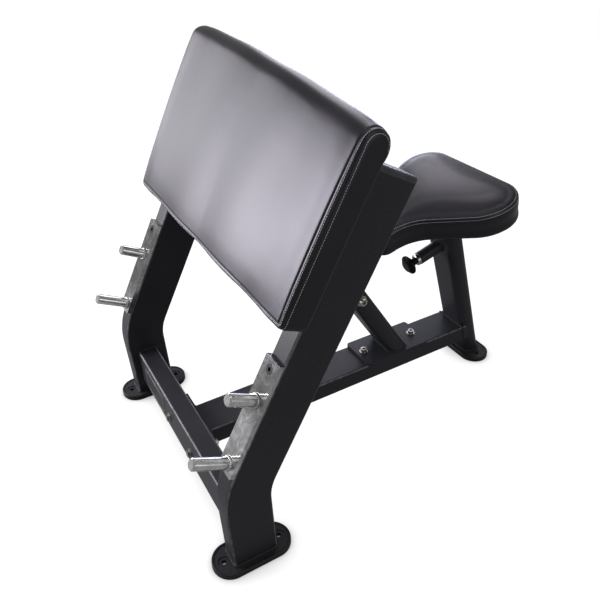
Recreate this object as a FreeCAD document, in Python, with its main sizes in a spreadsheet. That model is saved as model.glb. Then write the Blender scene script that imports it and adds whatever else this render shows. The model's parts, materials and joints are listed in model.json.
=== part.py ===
import FreeCAD
import Part
import Sketcher
import math
import os
from types import SimpleNamespace

# Preacher curl bench. Millimetres, X across, Y from the bar rests back to the seat, Z up from the floor.
# Two bent uprights carry the arm pad and the bar rests. A beam runs back from them to the seat post, and a
# brace rises from the beam to the back of the pad. The seat slides in the post and a spring pin locks it.

# Driving dimensions, in millimetres and degrees. They fill the sheet, and every other size follows from them.
SIZES = {
    # Rectangular tube of the uprights, the cross tubes and the beam
    "tube_depth": 100.0,
    "tube_width": 50.0,
    "tube_wall": 3.0,
    "tube_corner": 6.0,
    # Flat-oval tube of the brace and the seat post
    "oval_width": 100.0,
    "oval_depth": 50.0,
    "oval_wall": 3.0,
    "oval_corner": 22.0,
    # Uprights: outer width over both, height of the knee, leans from the vertical, reach above the knee
    "frame_width": 676.5,
    "knee_height": 225.0,
    "upper_angle": 27.65,
    "lower_angle": 1.9,
    "bend_radius": 160.0,
    "upright_reach": 672.0,
    "cap_height": 11.0,
    "cap_round": 5.0,
    "cap_spigot": 24.0,
    # Feet: a steel plate with two holes in a rubber boot
    "foot_length": 180.0,
    "foot_width": 84.0,
    "foot_thickness": 8.0,
    "foot_hole": 11.0,
    "foot_hole_spacing": 130.0,
    "recess_diameter": 26.0,
    "recess_depth": 1.5,
    "boot_floor": 4.0,
    "boot_wall": 5.0,
    "boot_lip": 1.2,
    "boot_round": 2.0,
    # Front cross tube and upper cross tube
    "cross_tube_clear": 50.0,
    "cross_tube_forward": 7.3,
    # Base beam, laid flat, and the flange on its front end
    "beam_clear": 68.0,
    "flange_width": 176.0,
    "flange_height": 80.0,
    "flange_thickness": 8.0,
    "flange_corner": 8.0,
    "flange_bolt_spacing": 136.0,
    # Brace: a base plate, a lower tube and the stub that it is bolted over
    "brace_angle": 33.0,
    "brace_back": 589.6,
    "brace_tube_length": 300.0,
    "brace_bolt_inset": 46.0,
    "stub_overlap": 110.0,
    "brace_plate_length": 203.0,
    "brace_plate_width": 106.0,
    "brace_plate_thickness": 8.0,
    "brace_plate_corner": 8.0,
    "brace_plate_forward": 6.6,
    "brace_plate_bolt_spacing": 161.0,
    # Seat post and its guide bush
    "post_back": 841.0,
    "post_angle": 17.3,
    "post_length": 365.0,
    "bush_lip": 4.0,
    "bush_depth": 50.0,
    "bush_wall": 2.6,
    # Spring pin in its barrel
    "pin_drop": 74.0,
    "pin_diameter": 12.0,
    "pin_reach": 4.0,
    "pin_grip": 8.0,
    "barrel_diameter": 34.0,
    "barrel_bore": 24.0,
    "barrel_length": 70.0,
    "barrel_bevel": 1.5,
    "ring_diameter": 31.0,
    "ring_length": 9.0,
    "ring_bevel": 2.0,
    "ring_spigot": 6.0,
    "collar_length": 6.0,
    "neck_diameter": 19.0,
    "neck_straight": 8.0,
    "neck_length": 19.0,
    "knob_diameter": 52.0,
    "knob_rim": 5.0,
    "knob_face": 30.0,
    "knob_length": 13.0,
    "knob_round": 2.0,
    "spring_wire": 2.0,
    # Seat tube and seat
    "seat_tube_length": 275.0,
    "seat_tube_wall": 3.0,
    "detent_pitch": 25.0,
    "plug_length": 16.0,
    "seat_clear": 20.0,
    "seat_plate_length": 170.0,
    "seat_plate_width": 120.0,
    "seat_plate_thickness": 6.0,
    "seat_plate_corner": 10.0,
    "seat_bolt_across": 60.0,
    "seat_bolt_along": 110.0,
    "seat_board_thickness": 12.0,
    "seat_board_inset": 8.0,
    "seat_height": 80.0,
    "seat_half_width": 184.0,
    "seat_rear": 124.0,
    "seat_rear_corner": 70.0,
    "nose_half_width": 37.0,
    "nose_reach": 215.0,
    "nose_corner": 30.0,
    "flare_start": 172.0,
    "flare_end": 53.0,
    "flare_angle": 48.0,
    "seat_edge_round": 28.0,
    # Arm pad: places along the slope are measured from the knee
    "pad_overhang": 17.5,
    "pad_bottom": 377.0,
    "pad_thickness": 60.0,
    "pad_corner": 10.0,
    "pad_crown": 4.0,
    "pad_draw": 1.5,
    "pad_edge_round": 9.0,
    "pad_back_rise": 4.0,
    "roll_radius": 32.5,
    "roll_height": 734.5,
    "roll_drop": 24.0,
    "roll_droop": 3.0,
    "pad_board_thickness": 15.0,
    "pad_board_inset": 16.0,
    "pad_board_top": 700.0,
    "pad_bolt_low": 440.0,
    "pad_bolt_high": 640.0,
    # Bar rests: plate and pegs, with their places along the slope from the knee
    "peg_plate_bottom": 53.6,
    "peg_plate_length": 249.4,
    "peg_plate_thickness": 10.0,
    "peg_plate_corner": 2.5,
    "peg_diameter": 25.0,
    "peg_chamfer": 2.5,
    "peg_spigot": 16.0,
    "lower_peg_height": 73.3,
    "lower_peg_length": 78.0,
    "upper_peg_height": 215.0,
    "upper_peg_length": 60.0,
    "peg_screw_height": 283.0,
    # Fasteners
    "bolt_diameter": 10.0,
    "cross_bolt_diameter": 12.0,
    "seat_bolt_diameter": 8.0,
    "screw_length": 30.0,
    "thread_past_nut": 3.0,
    "board_thread": 10.0,
    "beam_thread": 16.0,
    # Clearances
    "bolt_clearance": 0.5,
    "thread_clearance": 0.1,
    "plug_clearance": 0.2,
    "slide_clearance": 0.3,
    "pin_clearance": 0.05,
    "weld_gap": 0.2,
    # Extra length of a cut beyond the material
    "cut_overrun": 20.0,
}

# Proportions of bolts, nuts and washers, as shares of the bolt's diameter
HEX_WIDTH_SHARE = 1.6
HEX_HEIGHT_SHARE = 0.65
NUT_HEIGHT_SHARE = 0.8
SOCKET_HEAD_SHARE = 1.6
SOCKET_HEIGHT_SHARE = 0.8
SOCKET_WIDTH_SHARE = 0.8
SOCKET_DEPTH_SHARE = 0.45
WASHER_WIDTH_SHARE = 2.3
WASHER_HEIGHT_SHARE = 0.2

# Arm pad sections from one end to the middle: shares of the half width, of the edge round taken in and of
# the roll's droop
PAD_STATION_SHARES = (
    (1.0, 1.0, 1.0),
    (0.993, 0.5, 0.94),
    (0.98, 0.16, 0.83),
    (0.95, 0.02, 0.62),
    (0.88, 0.0, 0.25),
    (0.8, 0.0, 0.03),
    (0.55, 0.0, 0.0),
    (0.0, 0.0, 0.0),
)
# Share of the pad's crown that is gone at its ends
PAD_CROWN_LOSS_SHARE = 0.7
# Seat outlines from underside to crest: share of the seat's height, share of the edge round taken in
SEAT_LEVEL_SHARES = (
    (0.0, 0.4),
    (0.07, 0.12),
    (0.42, 0.14),
    (0.78, 0.0),
    (0.86, 0.08),
    (0.95, 0.45),
    (1.0, 0.95),
)

DETENT_COUNT = 7
# Degrees of half a turn
HALF_TURN = 180
HEX_SIDES = 6

X_AXIS = FreeCAD.Vector(1, 0, 0)
Y_AXIS = FreeCAD.Vector(0, 1, 0)
Z_AXIS = FreeCAD.Vector(0, 0, 1)

SIDES = {"left": -1, "right": 1}


class Size:
    """A number that keeps the sheet formula it comes from, so that features can be bound to it."""

    def __init__(self, value, formula):
        self.value = float(value)
        self.formula = formula

    def __float__(self):
        return self.value

    def __add__(self, other):
        other = as_size(other)
        return Size(self.value + other.value, f"({self.formula} + {other.formula})")

    def __sub__(self, other):
        other = as_size(other)
        return Size(self.value - other.value, f"({self.formula} - {other.formula})")

    def __mul__(self, other):
        other = as_size(other)
        return Size(self.value * other.value, f"({self.formula} * {other.formula})")

    def __truediv__(self, other):
        other = as_size(other)
        return Size(self.value / other.value, f"({self.formula} / {other.formula})")

    def __radd__(self, other):
        return as_size(other) + self

    def __rsub__(self, other):
        return as_size(other) - self

    def __rmul__(self, other):
        return as_size(other) * self

    def __neg__(self):
        return Size(-self.value, f"(-1 * {self.formula})")


def as_size(number):
    return number if isinstance(number, Size) else Size(number, repr(float(number)))


def sine(angle):
    return Size(math.sin(math.radians(angle.value)), f"sin({angle.formula} * 1 deg)")


def cosine(angle):
    return Size(math.cos(math.radians(angle.value)), f"cos({angle.formula} * 1 deg)")


def tangent(angle):
    return sine(angle) / cosine(angle)


doc = FreeCAD.newDocument("preacher_curl_bench")
sheet = doc.addObject("Spreadsheet::Sheet", "Sizes")
for row, (name, number) in enumerate(SIZES.items(), start=1):
    sheet.set(f"A{row}", name)
    sheet.set(f"B{row}", str(number))
    sheet.setAlias(f"B{row}", name)
doc.recompute()
s = SimpleNamespace(**{name: Size(sheet.get(name), f"Sizes.{name}") for name in SIZES})

pieces = []


# Sketches and features

def bind(feature, prop, size):
    """Tie one property of a feature to the sheet."""
    feature.setExpression(prop, as_size(size).formula)


def new_body(label, placement):
    body = doc.addObject("PartDesign::Body", label)
    body.Label = label
    body.Placement = placement
    pieces.append(body)
    return body


def sketch_on(body, role, lift=None):
    """A sketch on one of the body's own planes, lifted along the plane's normal."""
    sketch = body.newObject("Sketcher::SketchObject", "Sketch")
    plane = next(feature for feature in body.Origin.OriginFeatures if feature.Role == role)
    sketch.AttachmentSupport = [(plane, "")]
    sketch.MapMode = "FlatFace"
    if lift is not None:
        bind(sketch, "AttachmentOffset.Base.z", lift)
    return sketch


def constrain(sketch, kind, where, size):
    """Add a measured constraint and tie it to the sheet."""
    index = sketch.addConstraint(Sketcher.Constraint(kind, *where, float(size)))
    bind(sketch, f"Constraints[{index}]", size)


def hold_point(sketch, element, point, x, y):
    """Fix one sketch point at x, y. A plain zero puts it on the axis."""
    for kind, axis, size in (("DistanceX", -2, x), ("DistanceY", -1, y)):
        if isinstance(size, Size):
            constrain(sketch, kind, (-1, 1, element, point), size)
        else:
            sketch.addConstraint(Sketcher.Constraint("PointOnObject", element, point, axis))


def flat(x, y):
    return FreeCAD.Vector(float(x), float(y), 0)


def circle(sketch, diameter, x=0, y=0):
    element = sketch.addGeometry(Part.Circle(flat(x, y), Z_AXIS, float(diameter) / 2))
    constrain(sketch, "Diameter", (element,), diameter)
    hold_point(sketch, element, 3, x, y)


def polygon(sketch, corners):
    """A closed outline of straight lines through x, y corners."""
    ends = corners[1:] + corners[:1]
    lines = [sketch.addGeometry(Part.LineSegment(flat(*a), flat(*b))) for a, b in zip(corners, ends)]
    for here, (line, corner) in enumerate(zip(lines, corners)):
        sketch.addConstraint(Sketcher.Constraint("Coincident", lines[here - 1], 2, line, 1))
        hold_point(sketch, line, 1, *corner)


def rounded_rectangle(sketch, width, height, radius):
    """A rectangle about the origin with four round corners."""
    across = width / 2 - radius
    up = height / 2 - radius
    centres = ((across, up), (-across, up), (-across, -up), (across, -up))
    arcs = []
    for quarter, centre in enumerate(centres):
        round_corner = Part.Circle(flat(*centre), Z_AXIS, float(radius))
        start = quarter * math.pi / 2
        arcs.append(sketch.addGeometry(Part.ArcOfCircle(round_corner, start, start + math.pi / 2)))
    for here, arc in enumerate(arcs):
        following = arcs[(here + 1) % len(arcs)]
        start = sketch.getPoint(arc, 2)
        end = sketch.getPoint(following, 1)
        line = sketch.addGeometry(Part.LineSegment(start, end))
        sketch.addConstraint(Sketcher.Constraint("Tangent", arc, 2, line, 1))
        sketch.addConstraint(Sketcher.Constraint("Tangent", line, 2, following, 1))
    for arc, centre in zip(arcs, centres):
        constrain(sketch, "Radius", (arc,), radius)
        hold_point(sketch, arc, 3, *centre)


def stadium(sketch, length, width):
    """A long hole or plate outline with half-round ends, lying along the sketch's X axis."""
    radius = width / 2
    reach = length / 2 - radius
    ends = []
    for centre, start in ((reach, -math.pi / 2), (-reach, math.pi / 2)):
        half_round = Part.Circle(flat(centre, 0), Z_AXIS, float(radius))
        ends.append(sketch.addGeometry(Part.ArcOfCircle(half_round, start, start + math.pi)))
    for here, other in (ends, ends[::-1]):
        line = sketch.addGeometry(Part.LineSegment(sketch.getPoint(here, 2), sketch.getPoint(other, 1)))
        sketch.addConstraint(Sketcher.Constraint("Tangent", here, 2, line, 1))
        sketch.addConstraint(Sketcher.Constraint("Tangent", line, 2, other, 1))
    for end, centre in zip(ends, (reach, -reach)):
        constrain(sketch, "Radius", (end,), radius)
        hold_point(sketch, end, 3, centre, 0)


def tube_section(sketch, width, height, radius, wall):
    """The outer and inner outline of a tube."""
    rounded_rectangle(sketch, width, height, radius)
    rounded_rectangle(sketch, width - 2 * wall, height - 2 * wall, radius - wall)


def pad(body, sketch, length, both_ways=False, downward=False):
    feature = body.newObject("PartDesign::Pad", "Pad")
    feature.Profile = sketch
    feature.SideType = "Symmetric" if both_ways else "One side"
    feature.Reversed = downward
    bind(feature, "Length", length)
    return feature


def pocket(body, sketch, depth=None):
    """Cut a sketch to a depth against its normal or, with no depth, right through both ways."""
    feature = body.newObject("PartDesign::Pocket", "Pocket")
    feature.Profile = sketch
    if depth is None:
        feature.Type = "ThroughAll"
        feature.SideType = "Symmetric"
    else:
        bind(feature, "Length", depth)
    return feature


def edges_where(feature, test):
    """The names of a feature's edges whose box passes the test."""
    doc.recompute()
    boxes = [edge.BoundBox for edge in feature.Shape.Edges]
    return [f"Edge{number}" for number, box in enumerate(boxes, start=1) if test(box)]


def level_edges(feature, height):
    """The names of a feature's edges that lie flat at a height."""
    top = float(height)
    return edges_where(feature, lambda box: math.isclose(box.ZMin, top) and math.isclose(box.ZMax, top))


def round_edges(body, feature, names, radius):
    fillet = body.newObject("PartDesign::Fillet", "Fillet")
    fillet.Base = (feature, names)
    bind(fillet, "Radius", radius)
    return fillet


def trim(body, y, z, turn, half_width, depth):
    """Cut a body off along a line in its YZ plane, through y, z and turned by an angle from its Y axis."""
    sketch = sketch_on(body, "YZ_Plane")
    sketch.AttachmentOffset = FreeCAD.Placement(flat(y, z), FreeCAD.Rotation(Z_AXIS, float(turn)))
    polygon(sketch, [(-half_width, 0), (half_width, 0), (half_width, depth), (-half_width, depth)])
    return pocket(body, sketch)


def turned(label, placement, corners):
    """A body turned about its Z axis from radius, height corners."""
    body = new_body(label, placement)
    sketch = sketch_on(body, "XZ_Plane")
    polygon(sketch, corners)
    turning = body.newObject("PartDesign::Revolution", "Turning")
    turning.Profile = sketch
    turning.ReferenceAxis = (sketch, ["V_Axis"])
    return body


def bevelled_corners(inner, outer, low, high, bevel):
    """Corners of a turned ring or rod with its upper outer edge bevelled."""
    return [(inner, low), (outer, low), (outer, high - bevel), (outer - bevel, high), (inner, high)]


def plate(label, placement, width, length, thickness, corner):
    """A flat plate with round corners, centred on its placement and rising from it."""
    body = new_body(label, placement)
    sketch = sketch_on(body, "XY_Plane")
    rounded_rectangle(sketch, width, length, corner)
    pad(body, sketch, thickness)
    return body


def drill(body, role, diameter, places):
    """Round holes right through a body, square to one of its planes."""
    sketch = sketch_on(body, role)
    for x, y in places:
        circle(sketch, diameter, x, y)
    return pocket(body, sketch)


# Fasteners: each stands on its seat at Z = 0, with its head above and its shank below

def cylinder(diameter, height, low=0):
    solid = doc.addObject("Part::Cylinder", "Cylinder")
    bind(solid, "Radius", diameter / 2)
    bind(solid, "Height", height)
    bind(solid, "Placement.Base.z", low)
    return solid


def hexagon(width, height, low=0):
    solid = doc.addObject("Part::Prism", "Hexagon")
    solid.Polygon = HEX_SIDES
    bind(solid, "Circumradius", width / math.sqrt(3))
    bind(solid, "Height", height)
    bind(solid, "Placement.Base.z", low)
    return solid


def joined(first, second):
    solid = doc.addObject("Part::Fuse", "Joined")
    solid.Base = first
    solid.Tool = second
    return solid


def cut(first, second):
    solid = doc.addObject("Part::Cut", "Cut")
    solid.Base = first
    solid.Tool = second
    return solid


def washer_height(diameter):
    return diameter * WASHER_HEIGHT_SHARE


def nut_height(diameter):
    return diameter * NUT_HEIGHT_SHARE


def hex_bolt(diameter, length):
    head = hexagon(diameter * HEX_WIDTH_SHARE, diameter * HEX_HEIGHT_SHARE)
    return joined(head, cylinder(diameter, length, -length))


def socket_bolt(diameter, length):
    head_height = diameter * SOCKET_HEIGHT_SHARE
    depth = diameter * SOCKET_DEPTH_SHARE
    head = cylinder(diameter * SOCKET_HEAD_SHARE, head_height)
    socket = hexagon(diameter * SOCKET_WIDTH_SHARE, depth + s.cut_overrun, head_height - depth)
    return cut(joined(head, cylinder(diameter, length, -length)), socket)


def washer(diameter):
    hole = cylinder(diameter + 2 * s.bolt_clearance, washer_height(diameter))
    return cut(cylinder(diameter * WASHER_WIDTH_SHARE, washer_height(diameter)), hole)


def nut(diameter):
    hole = cylinder(diameter + 2 * s.thread_clearance, nut_height(diameter))
    return cut(hexagon(diameter * HEX_WIDTH_SHARE, nut_height(diameter)), hole)


def group(label, members, placements):
    """Like fasteners as separate solids in one piece."""
    for member, placement in zip(members, placements):
        member.Placement = placement
    compound = doc.addObject("Part::Compound", label)
    compound.Label = label
    compound.Links = members
    pieces.append(compound)


def fasteners(label, make, placements):
    group(label, [make() for _ in placements], placements)


# Frames. A frame lies on the middle plane, and its Z axis leans forward by an angle

def vector(x, y, z):
    return FreeCAD.Vector(float(x), float(y), float(z))


def moved(x, y, z, axis=X_AXIS, turn=0):
    return FreeCAD.Placement(vector(x, y, z), FreeCAD.Rotation(axis, turn))


FACING_FRONT = 90
FACING_REAR = -90
FACING_DOWN = 180

foot_top = s.boot_floor + s.foot_thickness
upright_x = (s.frame_width - s.tube_width) / 2
bend_angle = s.upper_angle + s.lower_angle
half_bend = bend_angle / 2
knee_y = -(s.tube_depth / (2 * cosine(s.lower_angle)) + (s.knee_height - foot_top) * tangent(s.lower_angle))
beam_top = s.beam_clear + s.tube_width
rear_foot_y = s.post_back + (beam_top - foot_top) * tangent(s.post_angle)

# The origin is under the middle of the bench: from the tips of the lower pegs to the back of the rear foot
peg_tip_reach = (s.peg_plate_thickness + s.lower_peg_length) * cosine(s.upper_angle)
peg_tip_drop = (s.lower_peg_height - s.peg_diameter / 2 + s.peg_chamfer) * sine(s.upper_angle)
front_end = knee_y + peg_tip_drop - peg_tip_reach
rear_end = rear_foot_y + s.foot_width / 2
origin_y = (front_end + rear_end) / 2


def leaning(y, z, lean):
    return FreeCAD.Placement(vector(0, y - origin_y, z), FreeCAD.Rotation(X_AXIS, float(lean)))


brace_foot_z = beam_top + s.brace_plate_thickness
ground_frame = leaning(as_size(0), 0, 0)
slope_frame = leaning(knee_y, s.knee_height, -s.upper_angle)
brace_frame = leaning(s.brace_back, brace_foot_z, s.brace_angle)
post_frame = leaning(s.post_back, beam_top, s.post_angle)

bolt_hole = s.bolt_diameter + 2 * s.bolt_clearance
cross_bolt_hole = s.cross_bolt_diameter + 2 * s.bolt_clearance
seat_bolt_hole = s.seat_bolt_diameter + 2 * s.bolt_clearance


# Uprights, their caps and the cross tubes

inner_gap = s.frame_width - 2 * s.tube_width
# Where the middle lines of the upper and the lower run of an upright meet, above the knee
bend_corner = s.tube_depth / 2 * tangent(half_bend)
bend_run = s.bend_radius * tangent(half_bend)
middle_drop = s.tube_depth / 2 * sine(s.upper_angle)
leg_rise = s.knee_height - middle_drop + bend_corner * cosine(s.upper_angle) - foot_top
leg_length = leg_rise / cosine(s.lower_angle)


def along_leg(distance):
    """A point on the lower run's middle line, in the frame of the upper run."""
    return distance * sine(bend_angle), bend_corner - distance * cosine(bend_angle)


def upright(side, x):
    body = new_body(f"{side}_upright", slope_frame * moved(x, s.tube_depth / 2, 0))
    section = sketch_on(body, "XY_Plane", s.upright_reach)
    tube_section(section, s.tube_width, s.tube_depth, s.tube_corner, s.tube_wall)
    path = sketch_on(body, "YZ_Plane")
    bend_top = (0, bend_corner + bend_run)
    bend_centre = (s.bend_radius, bend_corner + bend_run)
    bend_foot = along_leg(bend_run)
    leg_foot = along_leg(leg_length + s.cut_overrun)
    upper = path.addGeometry(Part.LineSegment(flat(0, s.upright_reach), flat(*bend_top)))
    turn = Part.Circle(flat(*bend_centre), Z_AXIS, float(s.bend_radius))
    bend = path.addGeometry(Part.ArcOfCircle(turn, math.pi, math.pi + math.radians(float(bend_angle))))
    lower = path.addGeometry(Part.LineSegment(flat(*bend_foot), flat(*leg_foot)))
    path.addConstraint(Sketcher.Constraint("Coincident", upper, 2, bend, 1))
    path.addConstraint(Sketcher.Constraint("Coincident", bend, 2, lower, 1))
    hold_point(path, upper, 1, 0, s.upright_reach)
    hold_point(path, upper, 2, *bend_top)
    hold_point(path, bend, 3, *bend_centre)
    constrain(path, "DistanceX", (-1, 1, bend, 2), bend_foot[0])
    hold_point(path, lower, 2, *leg_foot)
    pipe = body.newObject("PartDesign::AdditivePipe", "Bent_Tube")
    pipe.Profile = section
    pipe.Spine = (path, ["Edge1", "Edge2", "Edge3"])
    trim(body, *along_leg(leg_length), s.upper_angle, s.tube_depth, -2 * s.cut_overrun)
    drill(body, "XZ_Plane", bolt_hole, [(0, s.pad_bolt_low), (0, s.pad_bolt_high)])
    front = sketch_on(body, "XZ_Plane", s.tube_depth / 2)
    circle(front, bolt_hole, 0, s.peg_screw_height)
    pocket(body, front, s.tube_wall + s.cut_overrun)


def upright_cap(side, x):
    body = new_body(f"{side}_upright_cap", slope_frame * moved(x, s.tube_depth / 2, s.upright_reach))
    lid = sketch_on(body, "XY_Plane")
    rounded_rectangle(lid, s.tube_width, s.tube_depth, s.tube_corner)
    top = pad(body, lid, s.cap_height)
    round_edges(body, top, level_edges(top, s.cap_height), s.cap_round)
    inset = s.tube_wall + s.plug_clearance
    plug = sketch_on(body, "XY_Plane")
    rounded_rectangle(plug, s.tube_width - 2 * inset, s.tube_depth - 2 * inset, s.tube_corner - inset)
    pad(body, plug, s.cap_spigot, downward=True)


for side, sign in SIDES.items():
    upright(side, sign * upright_x)
    upright_cap(side, sign * upright_x)

cross_tube_length = inner_gap - 2 * s.weld_gap
cross_tube_z = s.cross_tube_clear + s.tube_depth / 2
beam_z = s.beam_clear + s.tube_width / 2
flange_bolt_x = s.flange_bolt_spacing / 2

front_cross_tube = new_body("front_cross_tube", ground_frame * moved(0, -s.cross_tube_forward, cross_tube_z))
cross_section = sketch_on(front_cross_tube, "YZ_Plane")
tube_section(cross_section, s.tube_width, s.tube_depth, s.tube_corner, s.tube_wall)
pad(front_cross_tube, cross_section, cross_tube_length, both_ways=True)
flange_bolt_drop = beam_z - cross_tube_z
flange_bolt_places = [(sign * flange_bolt_x, flange_bolt_drop) for sign in SIDES.values()]
drill(front_cross_tube, "XZ_Plane", bolt_hole, flange_bolt_places)

# The upper cross tube stands where the brace's middle line meets its rear face
brace_turn = s.upper_angle + s.brace_angle
brace_from_knee_y = s.brace_back - knee_y
brace_from_knee_z = brace_foot_z - s.knee_height
brace_behind = brace_from_knee_y * cosine(s.upper_angle) - brace_from_knee_z * sine(s.upper_angle)
brace_up = brace_from_knee_y * sine(s.upper_angle) + brace_from_knee_z * cosine(s.upper_angle)
brace_reach = (brace_behind - s.tube_width) / sine(brace_turn)
upper_tube_along = brace_up + brace_reach * cosine(brace_turn)

upper_cross_tube = new_body("upper_cross_tube", slope_frame * moved(0, s.tube_width / 2, upper_tube_along))
upper_section = sketch_on(upper_cross_tube, "YZ_Plane")
tube_section(upper_section, s.tube_width, s.tube_depth, s.tube_corner, s.tube_wall)
pad(upper_cross_tube, upper_section, cross_tube_length, both_ways=True)


# Feet: a plate in a boot, along Y under the uprights and along X under the post

def foot(name, x, y, turn):
    place = ground_frame * moved(x, y, 0, Z_AXIS, turn)
    hole_x = s.foot_hole_spacing / 2
    holes = [(hole_x, 0), (-hole_x, 0)]
    boot = new_body(f"{name}_foot_boot", place)
    outline = sketch_on(boot, "XY_Plane")
    stadium(outline, s.foot_length, s.foot_width)
    boot_height = foot_top + s.boot_lip
    block = pad(boot, outline, boot_height)
    round_edges(boot, block, level_edges(block, boot_height), s.boot_round)
    tray = sketch_on(boot, "XY_Plane", boot_height)
    stadium(tray, s.foot_length - 2 * s.boot_wall, s.foot_width - 2 * s.boot_wall)
    pocket(boot, tray, s.foot_thickness + s.boot_lip)
    drill(boot, "XY_Plane", s.foot_hole, holes)

    inset = s.boot_wall + s.plug_clearance
    steel = new_body(f"{name}_foot_plate", place * moved(0, 0, s.boot_floor))
    outline = sketch_on(steel, "XY_Plane")
    stadium(outline, s.foot_length - 2 * inset, s.foot_width - 2 * inset)
    pad(steel, outline, s.foot_thickness)
    recess = sketch_on(steel, "XY_Plane", s.foot_thickness)
    for x, y in holes:
        circle(recess, s.recess_diameter, x, y)
    pocket(steel, recess, s.recess_depth)
    drill(steel, "XY_Plane", s.foot_hole, holes)


QUARTER_TURN = 90
for side, sign in SIDES.items():
    foot(side, sign * upright_x, 0, QUARTER_TURN)
foot("rear", 0, rear_foot_y, 0)


# Base beam, its flange and the bolts through the front cross tube

flange_front = s.tube_width / 2 - s.cross_tube_forward
beam_front = flange_front + s.flange_thickness
beam_end = s.post_back + s.tube_width / 2 * tangent(s.post_angle)
brace_plate_y = s.brace_back - s.brace_plate_forward
brace_bolt_y = s.brace_plate_bolt_spacing / 2

beam = new_body("base_beam", ground_frame * moved(0, beam_front, beam_z))
beam_section = sketch_on(beam, "XZ_Plane")
tube_section(beam_section, s.tube_depth, s.tube_width, s.tube_corner, s.tube_wall)
pad(beam, beam_section, beam_end - beam_front, downward=True)
beam_bolts = sketch_on(beam, "XY_Plane", s.tube_width / 2)
for y in (brace_plate_y - brace_bolt_y, brace_plate_y + brace_bolt_y):
    circle(beam_bolts, bolt_hole, 0, y - beam_front)
pocket(beam, beam_bolts, s.tube_wall + s.tube_corner)
# The rear end is coped round the post
cope = sketch_on(beam, "XY_Plane")
cope.AttachmentOffset = moved(0, beam_end - beam_front, 0, X_AXIS, float(s.post_angle))
rounded_rectangle(
    cope, s.oval_width + 2 * s.weld_gap, s.oval_depth + 2 * s.weld_gap, s.oval_corner + s.weld_gap
)
pocket(beam, cope)

flange = plate(
    "beam_flange",
    ground_frame * moved(0, beam_front, beam_z, X_AXIS, FACING_FRONT),
    s.flange_width,
    s.flange_height,
    s.flange_thickness,
    s.flange_corner,
)
drill(flange, "XY_Plane", bolt_hole, [(-flange_bolt_x, 0), (flange_bolt_x, 0)])

cross_front = -s.cross_tube_forward - s.tube_width / 2
bolt_washer = washer_height(s.bolt_diameter)
flange_grip = s.tube_width + s.flange_thickness + 2 * bolt_washer
flange_bolt_length = flange_grip + nut_height(s.bolt_diameter) + s.thread_past_nut


def at_flange_bolts(y, turn):
    return [ground_frame * moved(sign * flange_bolt_x, y, beam_z, X_AXIS, turn) for sign in SIDES.values()]


fasteners(
    "flange_bolts",
    lambda: hex_bolt(s.bolt_diameter, flange_bolt_length),
    at_flange_bolts(cross_front - bolt_washer, FACING_FRONT),
)
fasteners(
    "flange_washers",
    lambda: washer(s.bolt_diameter),
    at_flange_bolts(cross_front, FACING_FRONT) + at_flange_bolts(beam_front, FACING_REAR),
)
fasteners(
    "flange_nuts",
    lambda: nut(s.bolt_diameter),
    at_flange_bolts(beam_front + bolt_washer, FACING_REAR),
)


# Brace: plate on the beam, lower tube, stub to the upper cross tube, cross bolt

brace_plate = plate(
    "brace_base_plate",
    ground_frame * moved(0, brace_plate_y, beam_top),
    s.brace_plate_width,
    s.brace_plate_length,
    s.brace_plate_thickness,
    s.brace_plate_corner,
)
drill(brace_plate, "XY_Plane", bolt_hole, [(0, -brace_bolt_y), (0, brace_bolt_y)])


def oval_tube(label, placement, inset, wall, low, high):
    """A flat-oval tube along Z, set in by an inset from the full size."""
    body = new_body(label, placement)
    section = sketch_on(body, "XY_Plane", low)
    tube_section(section, s.oval_width - 2 * inset, s.oval_depth - 2 * inset, s.oval_corner - inset, wall)
    pad(body, section, high - low)
    return body


brace_foot_slack = s.oval_depth * tangent(s.brace_angle)
brace_bolt_height = s.brace_tube_length - s.brace_bolt_inset
brace_tube = oval_tube("brace_tube", brace_frame, 0, s.oval_wall, -brace_foot_slack, s.brace_tube_length)
trim(brace_tube, 0, 0, -s.brace_angle, s.oval_depth, -2 * brace_foot_slack)
drill(brace_tube, "YZ_Plane", cross_bolt_hole, [(0, brace_bolt_height)])

stub_inset = s.oval_wall + s.slide_clearance
stub_foot = s.brace_tube_length - s.stub_overlap
stub_slack = s.oval_depth
brace_stub = oval_tube(
    "brace_stub", brace_frame, stub_inset, s.oval_wall, stub_foot, brace_reach + stub_slack
)
square_angle = 90
trim(brace_stub, 0, brace_reach, square_angle - brace_turn, s.oval_depth, 2 * stub_slack)
drill(brace_stub, "YZ_Plane", cross_bolt_hole, [(0, brace_bolt_height)])


def at_brace_bolt(x, turn):
    return [brace_frame * moved(x, 0, brace_bolt_height, Y_AXIS, turn)]


FACING_RIGHT = 90
FACING_LEFT = -90
cross_washer = washer_height(s.cross_bolt_diameter)
brace_side = s.oval_width / 2
cross_bolt_grip = s.oval_width + 2 * cross_washer + nut_height(s.cross_bolt_diameter)

fasteners(
    "brace_cross_bolt",
    lambda: socket_bolt(s.cross_bolt_diameter, cross_bolt_grip + s.thread_past_nut),
    at_brace_bolt(brace_side + cross_washer, FACING_RIGHT),
)
fasteners(
    "brace_cross_washers",
    lambda: washer(s.cross_bolt_diameter),
    at_brace_bolt(brace_side, FACING_RIGHT) + at_brace_bolt(-brace_side, FACING_LEFT),
)
fasteners(
    "brace_cross_nut",
    lambda: nut(s.cross_bolt_diameter),
    at_brace_bolt(-brace_side - cross_washer, FACING_LEFT),
)


def at_brace_plate_bolts(z, turn=0):
    places = (brace_plate_y - brace_bolt_y, brace_plate_y + brace_bolt_y)
    return [ground_frame * moved(0, y, z, X_AXIS, turn) for y in places]


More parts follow.
